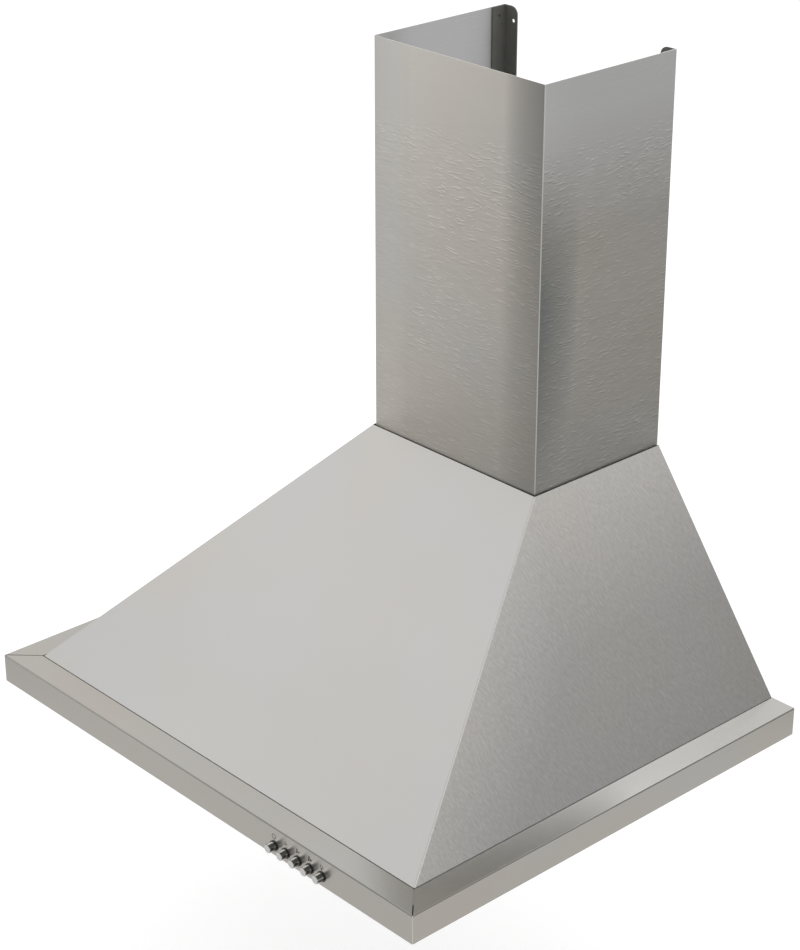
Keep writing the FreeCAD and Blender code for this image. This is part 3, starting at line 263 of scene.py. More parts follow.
# The grain's direction on the canopy's right side. The left side mirrors it.
SHELL_SIDE_GRAIN = (0.571, 0.313, -0.757)

# Keeps the level direction defined where a face looks straight up or down.
NORMAL_NUDGE = (0.0, -0.001, 0.0)


def grain_round_upright(graph):
    """Grain that runs level round an upright sheet."""
    return graph.vector("NORMALIZE", graph.vector(
        "CROSS_PRODUCT", (0.0, 0.0, 1.0), graph.vector("ADD", graph.normal(), NORMAL_NUDGE)))


def grain_of_shell(graph):
    """The shell is folded from one sheet, so the grain is level in front and runs down
    across the sides."""
    side = graph.math("SIGN", graph.separate(graph.position)[0])
    along, back, down = SHELL_SIDE_GRAIN
    side_grain = graph.combine(graph.times(side, along), back, down)
    on_side = graph.over(graph.sideways(), SHELL_SIDE)
    return graph.mix(on_side, (1.0, 0.0, 0.0), side_grain)


def grain_of_rim(graph):
    """Each strip of the rim is brushed along its own length; the mitres part them."""
    on_side = graph.under(*inward(graph, HALF_WIDTH, -DEPTH))
    return graph.mix(on_side, (1.0, 0.0, 0.0), (0.0, 1.0, 0.0))


# ---------------------------------------------------------------- brushed steel

# Cells per metre of each texture, along the grain and across it.
FINE_CELLS = (14.0, 1300.0)
HAIR_CELLS = (62.0, 520.0)
SHORT_HAIR_CELLS = (190.0, 640.0)
STROKE_CELLS = (78.0, 720.0)
TONE_CELLS = (2.2, 5.5)

# Cells per metre of the textures that don't follow the grain.
WANDER_SCALE = 26.0
PATCH_SCALE = 9.0
WARMTH_SCALE = 7.0

# How far a seed of 1 moves a sheet's textures along X, Y and Z, in metres.
SEED_STEPS = (1.0, 0.7, 1.3)

# A stroke strays this far from its line, and its painted shadow lies this far below it.
WANDER_REACH = 0.009
STROKE_PAINTED_SHADOW = 0.0011

# Values of a texture at which strokes, patches and the warmer tone set in and are full.
STROKE_START = 0.585
STROKE_FULL = 0.685
PATCH_START = 0.34
PATCH_FULL = 0.60
WARMTH_START = 0.35
WARMTH_FULL = 0.65

# Strokes outside the patches, and the painted shadow below a stroke, as shares of a full stroke.
STROKES_OUTSIDE = 0.2
PAINTED_SHADOW_SHARE = 0.6

# What each texture adds to the level that the colour follows.
LEVEL_MIDDLE = 0.5
TONE_WEIGHT = 0.16
FINE_WEIGHT = 0.12
HAIR_WEIGHT = 0.35
MARK_WEIGHT = 0.62

# The colour's darkest and lightest shade, and the tint of the warmer tone.
DARK_GRAIN = 0.75
LIGHT_GRAIN = 1.25
WARM_TINT = (1.015, 0.99, 0.955)

# How far the fine grain lowers and raises the roughness.
SMOOTHER = 0.03
ROUGHER = 0.04

# Depths of the relief, in metres.
STROKE_DEPTH = 0.000022
HAIR_DEPTH = 0.000014
FINE_DEPTH = 0.000004


def grained(graph, level, colour):
    """A colour that darkens and lightens with the grain's level."""
    return graph.mix(level, shade(colour, DARK_GRAIN), shade(colour, LIGHT_GRAIN))


def stroke_marks(graph, place, grain, where):
    """Short strokes that wander a little, each a light mark with a painted shadow below it, so
    that the pair paints the light and shade of a raised stroke.
    """
    wander = graph.add("ShaderNodeTexNoise")
    graph.feed(wander.inputs["Vector"], place)
    graph.feed(wander.inputs["Scale"], WANDER_SCALE)
    drift = graph.scaled(graph.vector(
        "SUBTRACT", wander.outputs["Color"], (0.5, 0.5, 0.5)), WANDER_REACH)
    bent = graph.vector("ADD", place, drift)
    # Painted shadow: the strokes sampled a little higher, so a dark copy lies below each one.
    below = graph.vector("ADD", bent, (0.0, 0.0, STROKE_PAINTED_SHADOW))
    stroke = graph.noise(graph.stretched(bent, grain, *STROKE_CELLS), detail=1.0)
    shadow = graph.noise(graph.stretched(below, grain, *STROKE_CELLS), detail=1.0)
    light = graph.times(graph.remap(stroke, STROKE_START, STROKE_FULL), where)
    dark = graph.times(
        graph.remap(shadow, STROKE_START, STROKE_FULL, 0.0, PAINTED_SHADOW_SHARE), where)
    return graph.minus(light, dark)


def brushed_steel(name, colour, grain_maker, strength, fineness, roughness, anisotropy,
                  seed, masks=(), bow=None, stroke_share=1.0, hair_cells=HAIR_CELLS):
    """Brushed stainless sheet: fine grain and short strokes in patches, over a tone that
    changes slowly. Each mask is a factor, a colour and a roughness; bow is a relief."""
    graph = Graph(name)
    grain = grain_maker(graph)
    strokes = strength(graph)
    place = graph.vector("ADD", graph.position, [seed * step for step in SEED_STEPS])
    patch = graph.noise(place, scale=PATCH_SCALE)
    where = graph.times(graph.remap(
        patch, PATCH_START, PATCH_FULL, STROKES_OUTSIDE * stroke_share, stroke_share), strokes)
    marks = stroke_marks(graph, place, grain, where)

    fine = graph.noise(graph.stretched(place, grain, *FINE_CELLS), detail=3.0)
    hair = graph.noise(graph.stretched(place, grain, *hair_cells))
    tone = graph.noise(graph.stretched(place, grain, *TONE_CELLS))
    warmth = graph.noise(place, scale=WARMTH_SCALE, detail=1.0)

    hairs = graph.times(graph.minus(hair, 0.5), strokes)
    level = LEVEL_MIDDLE
    for texture, weight in ((graph.minus(tone, 0.5), TONE_WEIGHT),
                            (graph.minus(fine, 0.5), FINE_WEIGHT * fineness),
                            (hairs, HAIR_WEIGHT), (marks, MARK_WEIGHT)):
        level = graph.math("MULTIPLY_ADD", texture, weight, level)
    warm_colour = tuple(channel * tint for channel, tint in zip(colour, WARM_TINT))
    base = graph.mix(graph.remap(warmth, WARMTH_START, WARMTH_FULL),
                     grained(graph, level, colour), grained(graph, level, warm_colour))
    rough = graph.spread(fine, roughness - SMOOTHER * fineness, roughness + ROUGHER * fineness)
    for factor, mask_colour, mask_roughness in masks:
        amount = factor(graph)
        base = graph.mix(amount, base, grained(graph, level, mask_colour))
        rough = graph.math("MULTIPLY_ADD", amount, graph.minus(mask_roughness, rough), rough)

    relief = graph.math("MULTIPLY_ADD", marks, STROKE_DEPTH, graph.times(hairs, HAIR_DEPTH))
    relief = graph.math("MULTIPLY_ADD", fine, FINE_DEPTH * fineness, relief)
    if bow:
        relief = graph.math("ADD", relief, bow(graph))
    across = graph.vector("CROSS_PRODUCT", graph.normal(), grain)
    graph.set(Base_Color=base, Metallic=1.0, Roughness=rough, Anisotropic=anisotropy,
              Tangent=graph.vector("NORMALIZE", across),
              Normal=graph.bump(relief, 1.0))
    return graph.material


# ---------------------------------------------------------------- looks of the cover

# How far below the cover's top, in metres, its strokes, painted light and painted shade change.
SMOOTH_END = 0.058
BELT_START = 0.090
BELT_END = 0.11
BELT_GONE = 0.17
PALE_START = 0.15
PALE_FULL = 0.03
FRONT_BAND_START = 0.30
SIDE_BAND_START = 0.06
SIDE_BAND_FULL = 0.20
SIDE_BAND_EASES = 0.24
SIDE_BAND_EASED = 0.40
LOW_START = 0.20
LOW_FULL = 0.39

# How strong those looks are.
STROKES_AT_TOP = 0.10
STROKES_IN_BELT = 1.35
STROKES_BELOW_BELT = 0.72
STROKES_ON_SIDES = 1.35
PALE_SHARE = 0.95
FRONT_BAND_LOW = 0.10
FRONT_BAND_HIGH = 0.44
SIDE_BAND = 0.95
SIDE_BAND_REST = 0.5
LOW_SHARE = 0.26

# The sheet's fall beside the front folds, and the reach and curve of the painted shade bands.
BOW_REACH = 0.048
BOW_TILT = 0.15
BAND_REACH = 0.050
BAND_CURVE = 0.7


def fade_to_cover_top(graph):
    """The cover's strokes are dense in a belt below its upper end, which is smooth."""
    height = graph.height()
    smooth = graph.remap(height, COVER_TOP - SMOOTH_END, COVER_TOP - BELT_START,
                         STROKES_AT_TOP, STROKES_IN_BELT)
    by_face = graph.remap(
        graph.sideways(), FACE_TURNS, FACE_TURNED, 1.0, STROKES_ON_SIDES)
    return graph.times(graph.times(smooth, by_face), graph.remap(
        height, COVER_TOP - BELT_END, COVER_TOP - BELT_GONE, 1.0, STROKES_BELOW_BELT))


def bow_beside_folds(graph):
    """The cover's sheet falls away a little beside its two front folds."""
    share = graph.remap(distance_from_fold(graph), 0.0, BOW_REACH, 1.0, 0.0)
    return graph.times(graph.times(share, share), -0.5 * BOW_TILT * BOW_REACH)


def inside_of_cover(graph):
    """1 on the faces that look towards the duct inside the cover."""
    x, y, _ = graph.separate(graph.position)[:3]
    normal = graph.separate(graph.normal())
    from_axis = graph.minus(y, COVER_AXIS)
    outward = graph.math("MULTIPLY_ADD", x, normal[0], graph.times(from_axis, normal[1]))
    return graph.under(outward, 0.0)


def painted_light_atop_cover_sides(graph):
    """Painted light: the cover's sides are paler near their upper end."""
    return graph.times(graph.over(graph.sideways(), COVER_SIDE), graph.remap(
        graph.height(), COVER_TOP - PALE_START, COVER_TOP - PALE_FULL, 0.0, PALE_SHARE))


def painted_shade_beside_folds(graph):
    """Painted shade: the cover darkens towards its front folds, in front mostly near the top,
    on the sides lower down, and all over its sides towards the bottom."""
    height = graph.height()
    share = graph.remap(distance_from_fold(graph), 0.0, BAND_REACH, 1.0, 0.0)
    front = graph.remap(height, COVER_TOP - FRONT_BAND_START, COVER_TOP,
                        FRONT_BAND_LOW, FRONT_BAND_HIGH)
    side = graph.times(
        graph.remap(height, COVER_TOP - SIDE_BAND_START, COVER_TOP - SIDE_BAND_FULL,
                    0.0, SIDE_BAND),
        graph.remap(height, COVER_TOP - SIDE_BAND_EASES, COVER_TOP - SIDE_BAND_EASED,
                    1.0, SIDE_BAND_REST))
    in_front = graph.under(graph.separate(graph.normal())[1], COVER_FRONT_FACE)
    amount = graph.math("MULTIPLY_ADD", in_front, graph.minus(front, side), side)
    beside = graph.times(amount, graph.math("POWER", share, BAND_CURVE))
    low = graph.remap(height, COVER_TOP - LOW_START, COVER_TOP - LOW_FULL, 0.0, LOW_SHARE)
    return graph.math("MAXIMUM", beside, graph.times(low, graph.minus(1.0, in_front)))


# ---------------------------------------------------------------- painted light on folds and edges

# Heights on the canopy's front folds, in metres, between which their painted highlight fades
# and their painted shade grows, and the painted shade's share.
HIGHLIGHT_GONE = 0.15
HIGHLIGHT_FULL = 0.07
FOLD_SHADE_START = 0.08
FOLD_SHADE_FULL = 0.14
FOLD_SHADE_SHARE = 0.95


def crest_of_fold(graph):
    """1 on the middle of a bend between a front face and a side face."""
    x, y, _ = graph.separate(graph.normal())[:3]
    return graph.times(graph.over(graph.magnitude(x), CREST_SIDEWAYS),
                       graph.over(graph.magnitude(y), CREST_FORWARD))


def low_crest_of_fold(graph):
    """A painted highlight on the lower part of the shell's front folds."""
    return graph.times(crest_of_fold(graph), graph.remap(
        graph.height(), HIGHLIGHT_GONE, HIGHLIGHT_FULL))


def high_crest_of_fold(graph):
    """Painted shade on the upper part of the shell's front folds."""
    return graph.times(crest_of_fold(graph), graph.remap(
        graph.height(), FOLD_SHADE_START, FOLD_SHADE_FULL, 0.0, FOLD_SHADE_SHARE))


def cut_edge(graph):
    """1 on the sheet's edges that face straight up: the cover paints a highlight there and the
    canopy paints shade.
    """
    return graph.over(graph.upward(), CUT_EDGE_FACE)


# ---------------------------------------------------------------- looks of the canopy

# The grain's strength on the sides, and how far sideways a face looks where it sets in
# and is full.
GRAIN_ON_SIDES = 2.0
GRAIN_START = 0.2
GRAIN_FULL = 0.6

# The painted light near the cover, by height, and beside the front fold, by distance.
PALE_LOW = 0.125
PALE_HIGH = 0.235
PALE_REACH = 0.13
SHELL_PALE_SHARE = 0.50


def stronger_on_sides(graph):
    """The shell's grain shows on its sides and hardly on its front."""
    return graph.remap(graph.sideways(), GRAIN_START, GRAIN_FULL, 0.0, GRAIN_ON_SIDES)


def painted_light_on_shell_sides(graph):
    """Painted light: the shell's sides are paler near the cover and beside the front folds."""
    _, y, z = graph.separate(graph.position)[:3]
    on_side = graph.over(graph.sideways(), SHELL_SIDE)
    front = graph.math("MULTIPLY_ADD", z, SHELL_SLOPE, SHELL_FOOT_FRONT)
    high = graph.remap(z, PALE_LOW, PALE_HIGH, 0.0, SHELL_PALE_SHARE)
    beside = graph.remap(graph.minus(y, front), 0.0, PALE_REACH, SHELL_PALE_SHARE, 0.0)
    return graph.times(on_side, graph.math("MAXIMUM", high, beside))


# ---------------------------------------------------------------- looks of the rim

# Where along X the ledge's painted reflection sets in and is full, in metres, and its share.
REFLECTION_START = 0.12
REFLECTION_FULL = 0.27
REFLECTION_SHARE = 0.65


def evenly(amount):
    """A strength that is the same everywhere."""
    return lambda graph: amount


def painted_reflection_on_right_ledge(graph):
    """A painted reflection on the ledge's right strip, brighter and cooler than the rest, up to
    its full share.
    """
    return graph.times(graph.over(graph.upward(), LEDGE_FACE), graph.remap(
        graph.separate(graph.position)[0], REFLECTION_START, REFLECTION_FULL, 0.0, REFLECTION_SHARE))


def front_of_rim(graph):
    """1 on the fascia, whose satin grain spreads what it mirrors."""
    return graph.under(graph.separate(graph.normal())[1], FASCIA_FACE)


def top_bend_of_rim(graph):
    """1 on the narrow bend between the rim's ledge and its skirt, which gets painted shade."""
    up = graph.upward()
    return graph.times(graph.over(up, BEND_START), graph.under(up, LEDGE_FACE))


def ledge_seams(graph):
    """1 along the mitres and the inner edge of the ledge, where the sheet ends and painted shade
    darkens the gaps.
    """
    from_side, from_front = inward(graph, HALF_WIDTH, -DEPTH)
    off_mitre = graph.magnitude(graph.minus(from_side, from_front))
    inset = graph.math("MINIMUM", from_side, from_front)
    on_mitre = graph.under(off_mitre, MITRE_SHADE)
    at_edge = graph.over(inset, LEDGE_WIDTH - EDGE_SHADE)
    up = graph.over(graph.upward(), SEAM_FACE)
    return graph.times(up, graph.math("MAXIMUM", on_mitre, at_edge))


# ---------------------------------------------------------------- other finishes

# Spread of the roughness about its middle value.
METAL_SPREAD = 0.05
PAINT_SPREAD = 0.06
PLASTIC_SPREAD = 0.05

# Rolled metal: cells of its lines, the values at which handling marks set in and are full,
# the share of the clouds in its tone, and what a mark adds to the roughness.
LINE_CELLS = (30.0, 900.0)
MARK_START = 0.60
MARK_FULL = 0.72
CLOUD_SHARE = 0.7
LINE_SHARE = 0.3
MARK_ROUGHNESS = 0.08

# Depths of the reliefs, in metres.
METAL_DEPTH = 0.000012
PAINT_DEPTH = 0.00002
MOULD_DEPTH = 0.00003
GLOSS_DEPTH = 0.000005
CHROME_DEPTH = 0.00001
RING_DEPTH = 0.000004
FROST_DEPTH = 0.00002

# The cap of a button. Its end begins and is full by how far the face looks along Y. Round
# its side, painted reflections go by how far the face looks up: a light stripe, a light part
# low down and a bright line on top, on a dark side.
END_START = 0.75
END_FULL = 0.95
END_ROUGHNESS = 0.34
STRIPE_LEVEL = 0.32
STRIPE_HALF = 0.20
STRIPE_BLUR = 0.10
LOW_LIGHT_START = -0.30
LOW_LIGHT_FULL = -0.45
TOP_LINE_START = 0.95
TOP_LINE_FULL = 0.985
STRIPE_DARK = 0.19
STRIPE_LIGHT = 0.80
RING_CELLS = (2500.0, 60.0)


def plain_metal(name, colour, roughness, contrast=0.10):
    """Rolled, plated or cast metal: a faint grain, cloudy tone and small handling marks."""
    graph = Graph(name)
    lines = graph.noise(graph.stretched(graph.position, (1.0, 0.0, 0.0), *LINE_CELLS))
    clouds = graph.noise(graph.position, scale=28.0, detail=4.0)
    marks = graph.remap(graph.noise(graph.position, scale=160.0), MARK_START, MARK_FULL)
    level = graph.math("ADD", graph.times(clouds, CLOUD_SHARE), graph.times(lines, LINE_SHARE))
    base = graph.mix(level, shade(colour, 1.0 - 2 * contrast), shade(colour, 1.0 + 2 * contrast))
    rough = graph.math("ADD", graph.spread(
        clouds, roughness - METAL_SPREAD, roughness + METAL_SPREAD),
        graph.times(marks, MARK_ROUGHNESS))
    graph.set(Base_Color=base, Metallic=1.0, Roughness=rough,
              Normal=graph.bump(graph.math("ADD", lines, marks), METAL_DEPTH))
    return graph.material


def painted_metal(name, colour, roughness):
    """Satin paint on steel: a fine orange peel, dust in the tone, no metal showing."""
    graph = Graph(name)
    peel = graph.noise(graph.position, scale=900.0)
    dust = graph.noise(graph.position, scale=60.0, detail=4.0)
    base = graph.mix(dust, shade(colour, 0.82), shade(colour, 1.2))
    graph.set(Base_Color=base, Metallic=0.0,
              Roughness=graph.spread(dust, roughness - PAINT_SPREAD, roughness + PAINT_SPREAD),
              Normal=graph.bump(peel, PAINT_DEPTH))
    return graph.material


def moulded_plastic(name, colour, roughness, grain=MOULD_DEPTH):
    """Moulded plastic with a spark-eroded texture and faint flow marks."""
    graph = Graph(name)
    texture = graph.cells(graph.position, 1300.0)
    flow = graph.noise(graph.position, scale=35.0, detail=3.0)
    base = graph.mix(flow, shade(colour, 0.8), shade(colour, 1.25))
    graph.set(Base_Color=base,
              Roughness=graph.spread(
                  flow, roughness - PLASTIC_SPREAD, roughness + PLASTIC_SPREAD),
              Normal=graph.bump(texture, grain))
    return graph.material


def chrome(name, colour):
    """Polished chrome with a faint haze."""
    graph = Graph(name)
    haze = graph.noise(graph.position, scale=120.0, detail=3.0)
    base = graph.mix(haze, shade(colour, 0.93), shade(colour, 1.05))
    graph.set(Base_Color=base, Metallic=1.0,
              Roughness=graph.spread(haze, 0.07, 0.14),
              Normal=graph.bump(haze, CHROME_DEPTH))
    return graph.material


def turned_chrome(name, colour, face_colour):
    """Chrome on a turned cap: painted reflections in stripes of light and dark round the
    side, satin on the end.
    """
    graph = Graph(name)
    haze = graph.noise(graph.position, scale=120.0, detail=3.0)
    rings = graph.noise(graph.stretched(
        graph.position, (0.0, 1.0, 0.0), *RING_CELLS), detail=1.0)
    _, along, up = graph.separate(graph.normal())[:3]
    end = graph.remap(graph.magnitude(along), END_START, END_FULL)
    stripe = graph.magnitude(graph.minus(up, STRIPE_LEVEL))
    # Painted reflections: the side is dark but for a light stripe, a light part low down and a
    # white top line.
    grey = graph.math("MAXIMUM", graph.remap(stripe, STRIPE_HALF, STRIPE_HALF - STRIPE_BLUR),
                      graph.remap(up, LOW_LIGHT_START, LOW_LIGHT_FULL))
    side = graph.mix(grey, shade(colour, STRIPE_DARK), shade(colour, STRIPE_LIGHT))
    side = graph.mix(graph.remap(up, TOP_LINE_START, TOP_LINE_FULL), side, (1.0, 1.0, 1.0))
    base = graph.mix(end, side, face_colour)
    side_rough = graph.spread(haze, 0.06, 0.12)
    rough = graph.math("MULTIPLY_ADD", end, graph.minus(END_ROUGHNESS, side_rough), side_rough)
    graph.set(Base_Color=base, Metallic=1.0, Roughness=rough,
              Normal=graph.bump(rings, RING_DEPTH))
    return graph.material


def frosted_glass(name, colour):
    """Sand-blasted glass: partly clear, with a fine relief and an uneven haze."""
    graph = Graph(name)
    frost = graph.noise(graph.position, scale=2200.0)
    haze = graph.noise(graph.position, scale=90.0)
    base = graph.mix(haze, shade(colour, 0.95), colour)
    graph.set(Base_Color=base, Transmission_Weight=0.55, IOR=1.47,
              Roughness=graph.remap(frost, 0.2, 0.8, 0.38, 0.55),
              Normal=graph.bump(frost, FROST_DEPTH))
    return graph.material


COVER_STEEL = (0.450, 0.434, 0.410)
CANOPY_STEEL = (0.430, 0.427, 0.421)
RIM_STEEL = (0.415, 0.402, 0.378)
FASCIA_STEEL = (0.428, 0.406, 0.376)
PLAIN_SIDE = (0.69, 0.69, 0.69)
# Painted shade on the rim's bend below its ledge and high on the canopy's front folds.
BEND_SHADE = (0.24, 0.235, 0.22)
# Painted shade beside the cover's front folds and low on its sides.
BAND_SHADE = (0.200, 0.212, 0.204)
# Painted light on the upper part of the cover's sides.
COVER_PAINTED_LIGHT = (0.60, 0.60, 0.595)
# Painted light on the canopy's sides near the cover and beside its front folds.
SHELL_PAINTED_LIGHT = (0.64, 0.612, 0.575)
# A painted reflection of the canopy's right side on the ledge's right strip, brighter and
# cooler.
LEDGE_PAINTED_REFLECTION = (0.465, 0.466, 0.455)
# A painted highlight on the crests of the cover's and rim's folds and on the cover's top edge.
PAINTED_EDGE_HIGHLIGHT = (0.66, 0.64, 0.60)
# A painted highlight low on the canopy's front folds.
SHELL_CREST_PAINTED_HIGHLIGHT = (0.82, 0.81, 0.78)
# Painted shade along the ledge's seams and on the canopy's top edge round the cover's foot.
SEAM_SHADE = (0.07, 0.068, 0.062)

finishes = {
    # The cover's masks paint light high on its sides, shade by its folds and low on its sides,
    # and highlights on its fold and top edge.
    "brushed_cover": brushed_steel(
        "cover_steel", COVER_STEEL, grain_round_upright, fade_to_cover_top,
        fineness=1.0, roughness=0.38, anisotropy=0.8, seed=0.0,
        masks=[(painted_light_atop_cover_sides, COVER_PAINTED_LIGHT, 0.38),
               (painted_shade_beside_folds, BAND_SHADE, 0.36), (inside_of_cover, PLAIN_SIDE, 0.42),
               (crest_of_fold, PAINTED_EDGE_HIGHLIGHT, 0.3), (cut_edge, PAINTED_EDGE_HIGHLIGHT, 0.4)],
        bow=bow_beside_folds),
    # The canopy's masks paint light on its sides, shade on its top edge and high on its folds,
    # and a highlight low on its folds.
    "brushed_canopy": brushed_steel(
        "canopy_steel", CANOPY_STEEL, grain_of_shell, stronger_on_sides,
        fineness=0.05, roughness=0.27, anisotropy=0.6, seed=1.7,
        masks=[(painted_light_on_shell_sides, SHELL_PAINTED_LIGHT, 0.27), (cut_edge, SEAM_SHADE, 0.5),
               (low_crest_of_fold, SHELL_CREST_PAINTED_HIGHLIGHT, 0.3), (high_crest_of_fold, BEND_SHADE, 0.4)],
        stroke_share=0.08, hair_cells=SHORT_HAIR_CELLS),
    # The rim's masks paint a reflection on its ledge's right strip, shade on the bend below the
    # ledge and along its seams, and a highlight on its corner folds.
    "brushed_rim": brushed_steel(
        "rim_steel", RIM_STEEL, grain_of_rim, evenly(0.04),
        fineness=0.3, roughness=0.19, anisotropy=0.7, seed=3.1,
        masks=[(front_of_rim, FASCIA_STEEL, 0.28), (painted_reflection_on_right_ledge, LEDGE_PAINTED_REFLECTION, 0.19),
               (top_bend_of_rim, BEND_SHADE, 0.3), (crest_of_fold, PAINTED_EDGE_HIGHLIGHT, 0.3),
               (ledge_seams, SEAM_SHADE, 0.5)]),
    "inner_steel": plain_metal("rolled_steel", (0.50, 0.50, 0.49), 0.36),
    "dark_steel": painted_metal("dark_paint", (0.150, 0.149, 0.137), 0.45),
    "moulded_plastic": moulded_plastic("black_moulding", (0.035, 0.035, 0.038), 0.5),
    "flap_plastic": moulded_plastic("grey_moulding", (0.07, 0.07, 0.075), 0.45),
    "wheel_plastic": moulded_plastic("wheel_moulding", (0.06, 0.06, 0.06), 0.5),
    "motor_steel": painted_metal("motor_enamel", (0.20, 0.205, 0.21), 0.4),
    "bright_steel": plain_metal("ground_steel", (0.62, 0.62, 0.61), 0.2, 0.05),
    "screw_steel": plain_metal("zinc_plate", (0.55, 0.56, 0.57), 0.28, 0.08),
    "grommet_rubber": moulded_plastic("black_rubber", (0.025, 0.025, 0.025), 0.75),
    "capacitor_case": moulded_plastic("pale_case", (0.72, 0.72, 0.68), 0.35),
    "lead_sheath": moulded_plastic("lead_sheath", (0.03, 0.03, 0.03), 0.55),
    "filter_aluminium": plain_metal("aluminium", (0.66, 0.66, 0.65), 0.32, 0.08),
    "catch_plastic": moulded_plastic("catch_moulding", (0.04, 0.04, 0.04), 0.45),
    "lamp_chrome": chrome("lamp_chrome", (0.72, 0.72, 0.72)),
    "lamp_glass": frosted_glass("frosted_glass", (0.93, 0.93, 0.90)),
    "button_chrome": turned_chrome("button_chrome", (0.80, 0.80, 0.79), (0.58, 0.58, 0.57)),
    "bezel_plastic": moulded_plastic(
        "black_gloss", (0.012, 0.012, 0.012), 0.22, GLOSS_DEPTH),
}

for subpart in frame["record"]["subparts"]:
    piece = nodes[subpart["node"]]
    piece.data.materials.clear()
    piece.data.materials.append(finishes[subpart["material_slot"]])


# ---------------------------------------------------------------- printed symbols

FASCIA = -DEPTH
SYMBOL_LEVEL = 0.0197
SYMBOL_LINE = 0.0006
INK_THICKNESS = 0.00005
INK_DEPTH = 0.8 * INK_THICKNESS

# A fan blade: the steps along each edge, the hub's share of the reach, the sweep to the tip
# in radians, and where the leaf starts on a half wave and how much of it the leaf spans.
BLADE_STEPS = 8
HUB_SHARE = 0.14
BLADE_SWEEP = 0.55
LEAF_START = 0.10
LEAF_SPAN = 0.86

# The bulb's neck, as shares of the bulb's radius.
NECK_HALF = 0.45
NECK_TOP = 0.85
NECK_LENGTH = 0.75

RING_CORNERS = 40


def circle_points(radius):
    return [(radius * math.cos(2 * math.pi * index / RING_CORNERS),
             radius * math.sin(2 * math.pi * index / RING_CORNERS))
            for index in range(RING_CORNERS)]


def ring_faces(radius):
    """A ring of the symbols' line width, inside a radius."""
    outer = circle_points(radius)
    inner = circle_points(radius - SYMBOL_LINE)
    faces = []
    for index in range(RING_CORNERS):
        after = (index + 1) % RING_CORNERS
        faces.append((outer[index], outer[after], inner[after], inner[index]))
    return faces


def blade_faces(reach, blades, width):
    """Fan blades: each a swept leaf from the hub outwards."""
    faces = []
    for blade in range(blades):
        turn = math.pi / 2 + 2 * math.pi * blade / blades
        edge = []
        for side in (1, -1):
            for step in range(BLADE_STEPS + 1):
                share = step / BLADE_STEPS if side > 0 else 1 - step / BLADE_STEPS
                distance = reach * (HUB_SHARE + (1 - HUB_SHARE) * share)
                leaf = min(share * LEAF_SPAN + LEAF_START, 1.0)
                half = side * width * math.sin(math.pi * leaf)
                sweep = BLADE_SWEEP * share
                edge.append((
                    distance * math.cos(turn + sweep) - half * math.sin(turn + sweep),
                    distance * math.sin(turn + sweep) + half * math.cos(turn + sweep)))
        faces.append(tuple(edge))
    return faces


def bulb_faces(radius):
    """A lamp: a ring with a solid neck below it."""
    neck_half = radius * NECK_HALF
    neck_top = -radius * NECK_TOP
    neck_low = neck_top - radius * NECK_LENGTH
    neck = ((-neck_half, neck_low), (neck_half, neck_low), (neck_half, neck_top),
            (-neck_half, neck_top))
    return ring_faces(radius) + [neck]


SYMBOLS = {
    "off": ring_faces(0.0026),
    "low": blade_faces(0.0024, 3, 0.00055),
    "medium": blade_faces(0.0028, 3, 0.00095),
    "high": blade_faces(0.0031, 3, 0.00130),
    "light": bulb_faces(0.0019),
}


def printed_ink():
    """Black ink, a little worn."""
    graph = Graph("printed_ink")
    wear = graph.noise(graph.position, scale=2400.0, detail=3.0)
    base = graph.mix(wear, (0.02, 0.02, 0.02), (0.06, 0.06, 0.058))
    graph.set(Base_Color=base, Roughness=graph.spread(wear, 0.45, 0.65))
    return graph.material


def print_symbol(name, faces, centre_x, ink):
    """A flat printed symbol just proud of the fascia, above its button."""
    mesh = bmesh.new()
    for outline in faces:
        corners = [mesh.verts.new((centre_x + x, FASCIA - INK_THICKNESS, SYMBOL_LEVEL + z))
                   for x, z in outline]
        mesh.faces.new(corners)
    bmesh.ops.remove_doubles(mesh, verts=mesh.verts, dist=1e-7)
    bmesh.ops.recalc_face_normals(mesh, faces=mesh.faces)
    raised = bmesh.ops.extrude_face_region(mesh, geom=list(mesh.faces))
    moved = [item for item in raised["geom"] if isinstance(item, bmesh.types.BMVert)]
    bmesh.ops.translate(mesh, verts=moved, vec=(0.0, INK_DEPTH, 0.0))
    bmesh.ops.recalc_face_normals(mesh, faces=mesh.faces)
    data = bpy.data.meshes.new(name)
    mesh.to_mesh(data)
    mesh.free()
    data.materials.append(ink)
    piece = bpy.data.objects.new(name, data)
    bpy.context.scene.collection.objects.link(piece)
    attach(piece, "hood")


symbol_ink = printed_ink()
for key, faces in SYMBOLS.items():
    low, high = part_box(f"button_{key}")
    print_symbol(f"symbol_{key}", faces, (low.x + high.x) / 2, symbol_ink)


# ---------------------------------------------------------------- studio

FLOOR_LEVEL = -0.30
FLOOR_HALF = 30.0
FLOOR_TONE = 0.44
FLOOR_SPECKLE = 0.01

# What the camera sees the floor give off, and what gloss and glass see of its pool.
FLOOR_WHITE = 0.66
FLOOR_GLOW = 0.50
POOL_CENTRE = (-0.08, -0.18, FLOOR_LEVEL)
POOL_NEAR = 0.90
POOL_FAR = 1.14

# Where along X the floor brightens again, and by what share of the pool.
RIGHT_START = 1.1
RIGHT_END = 2.4
RIGHT_SHARE = 0.62
LEFT_START = -1.2
LEFT_END = -2.7
LEFT_SHARE = 0.80

# The sky turns from dark to bright towards SKY_AXIS, and dims towards DIM_AXIS.
SKY_AXIS = Vector((-0.418, -0.489, 0.765)).normalized()
SKY_DARK = 0.4
SKY_BRIGHT = 1.08
SKY_START = -0.385
SKY_END = -0.105
DIM_AXIS = Vector((0.10, -0.99, 0.08)).normalized()
DIM_START = 0.60
DIM_END = 0.86
DIM_SHARE = 0.25

SCENE_CENTRE = Vector((0.0, -0.22, 0.28))
KEY_DIRECTION = Vector((-0.60, -0.25, 0.76)).normalized()
SIDE_DIRECTION = Vector((-0.85, -0.52, 0.09)).normalized()
BACK_DIRECTION = Vector((-0.22, 0.60, 0.77)).normalized()


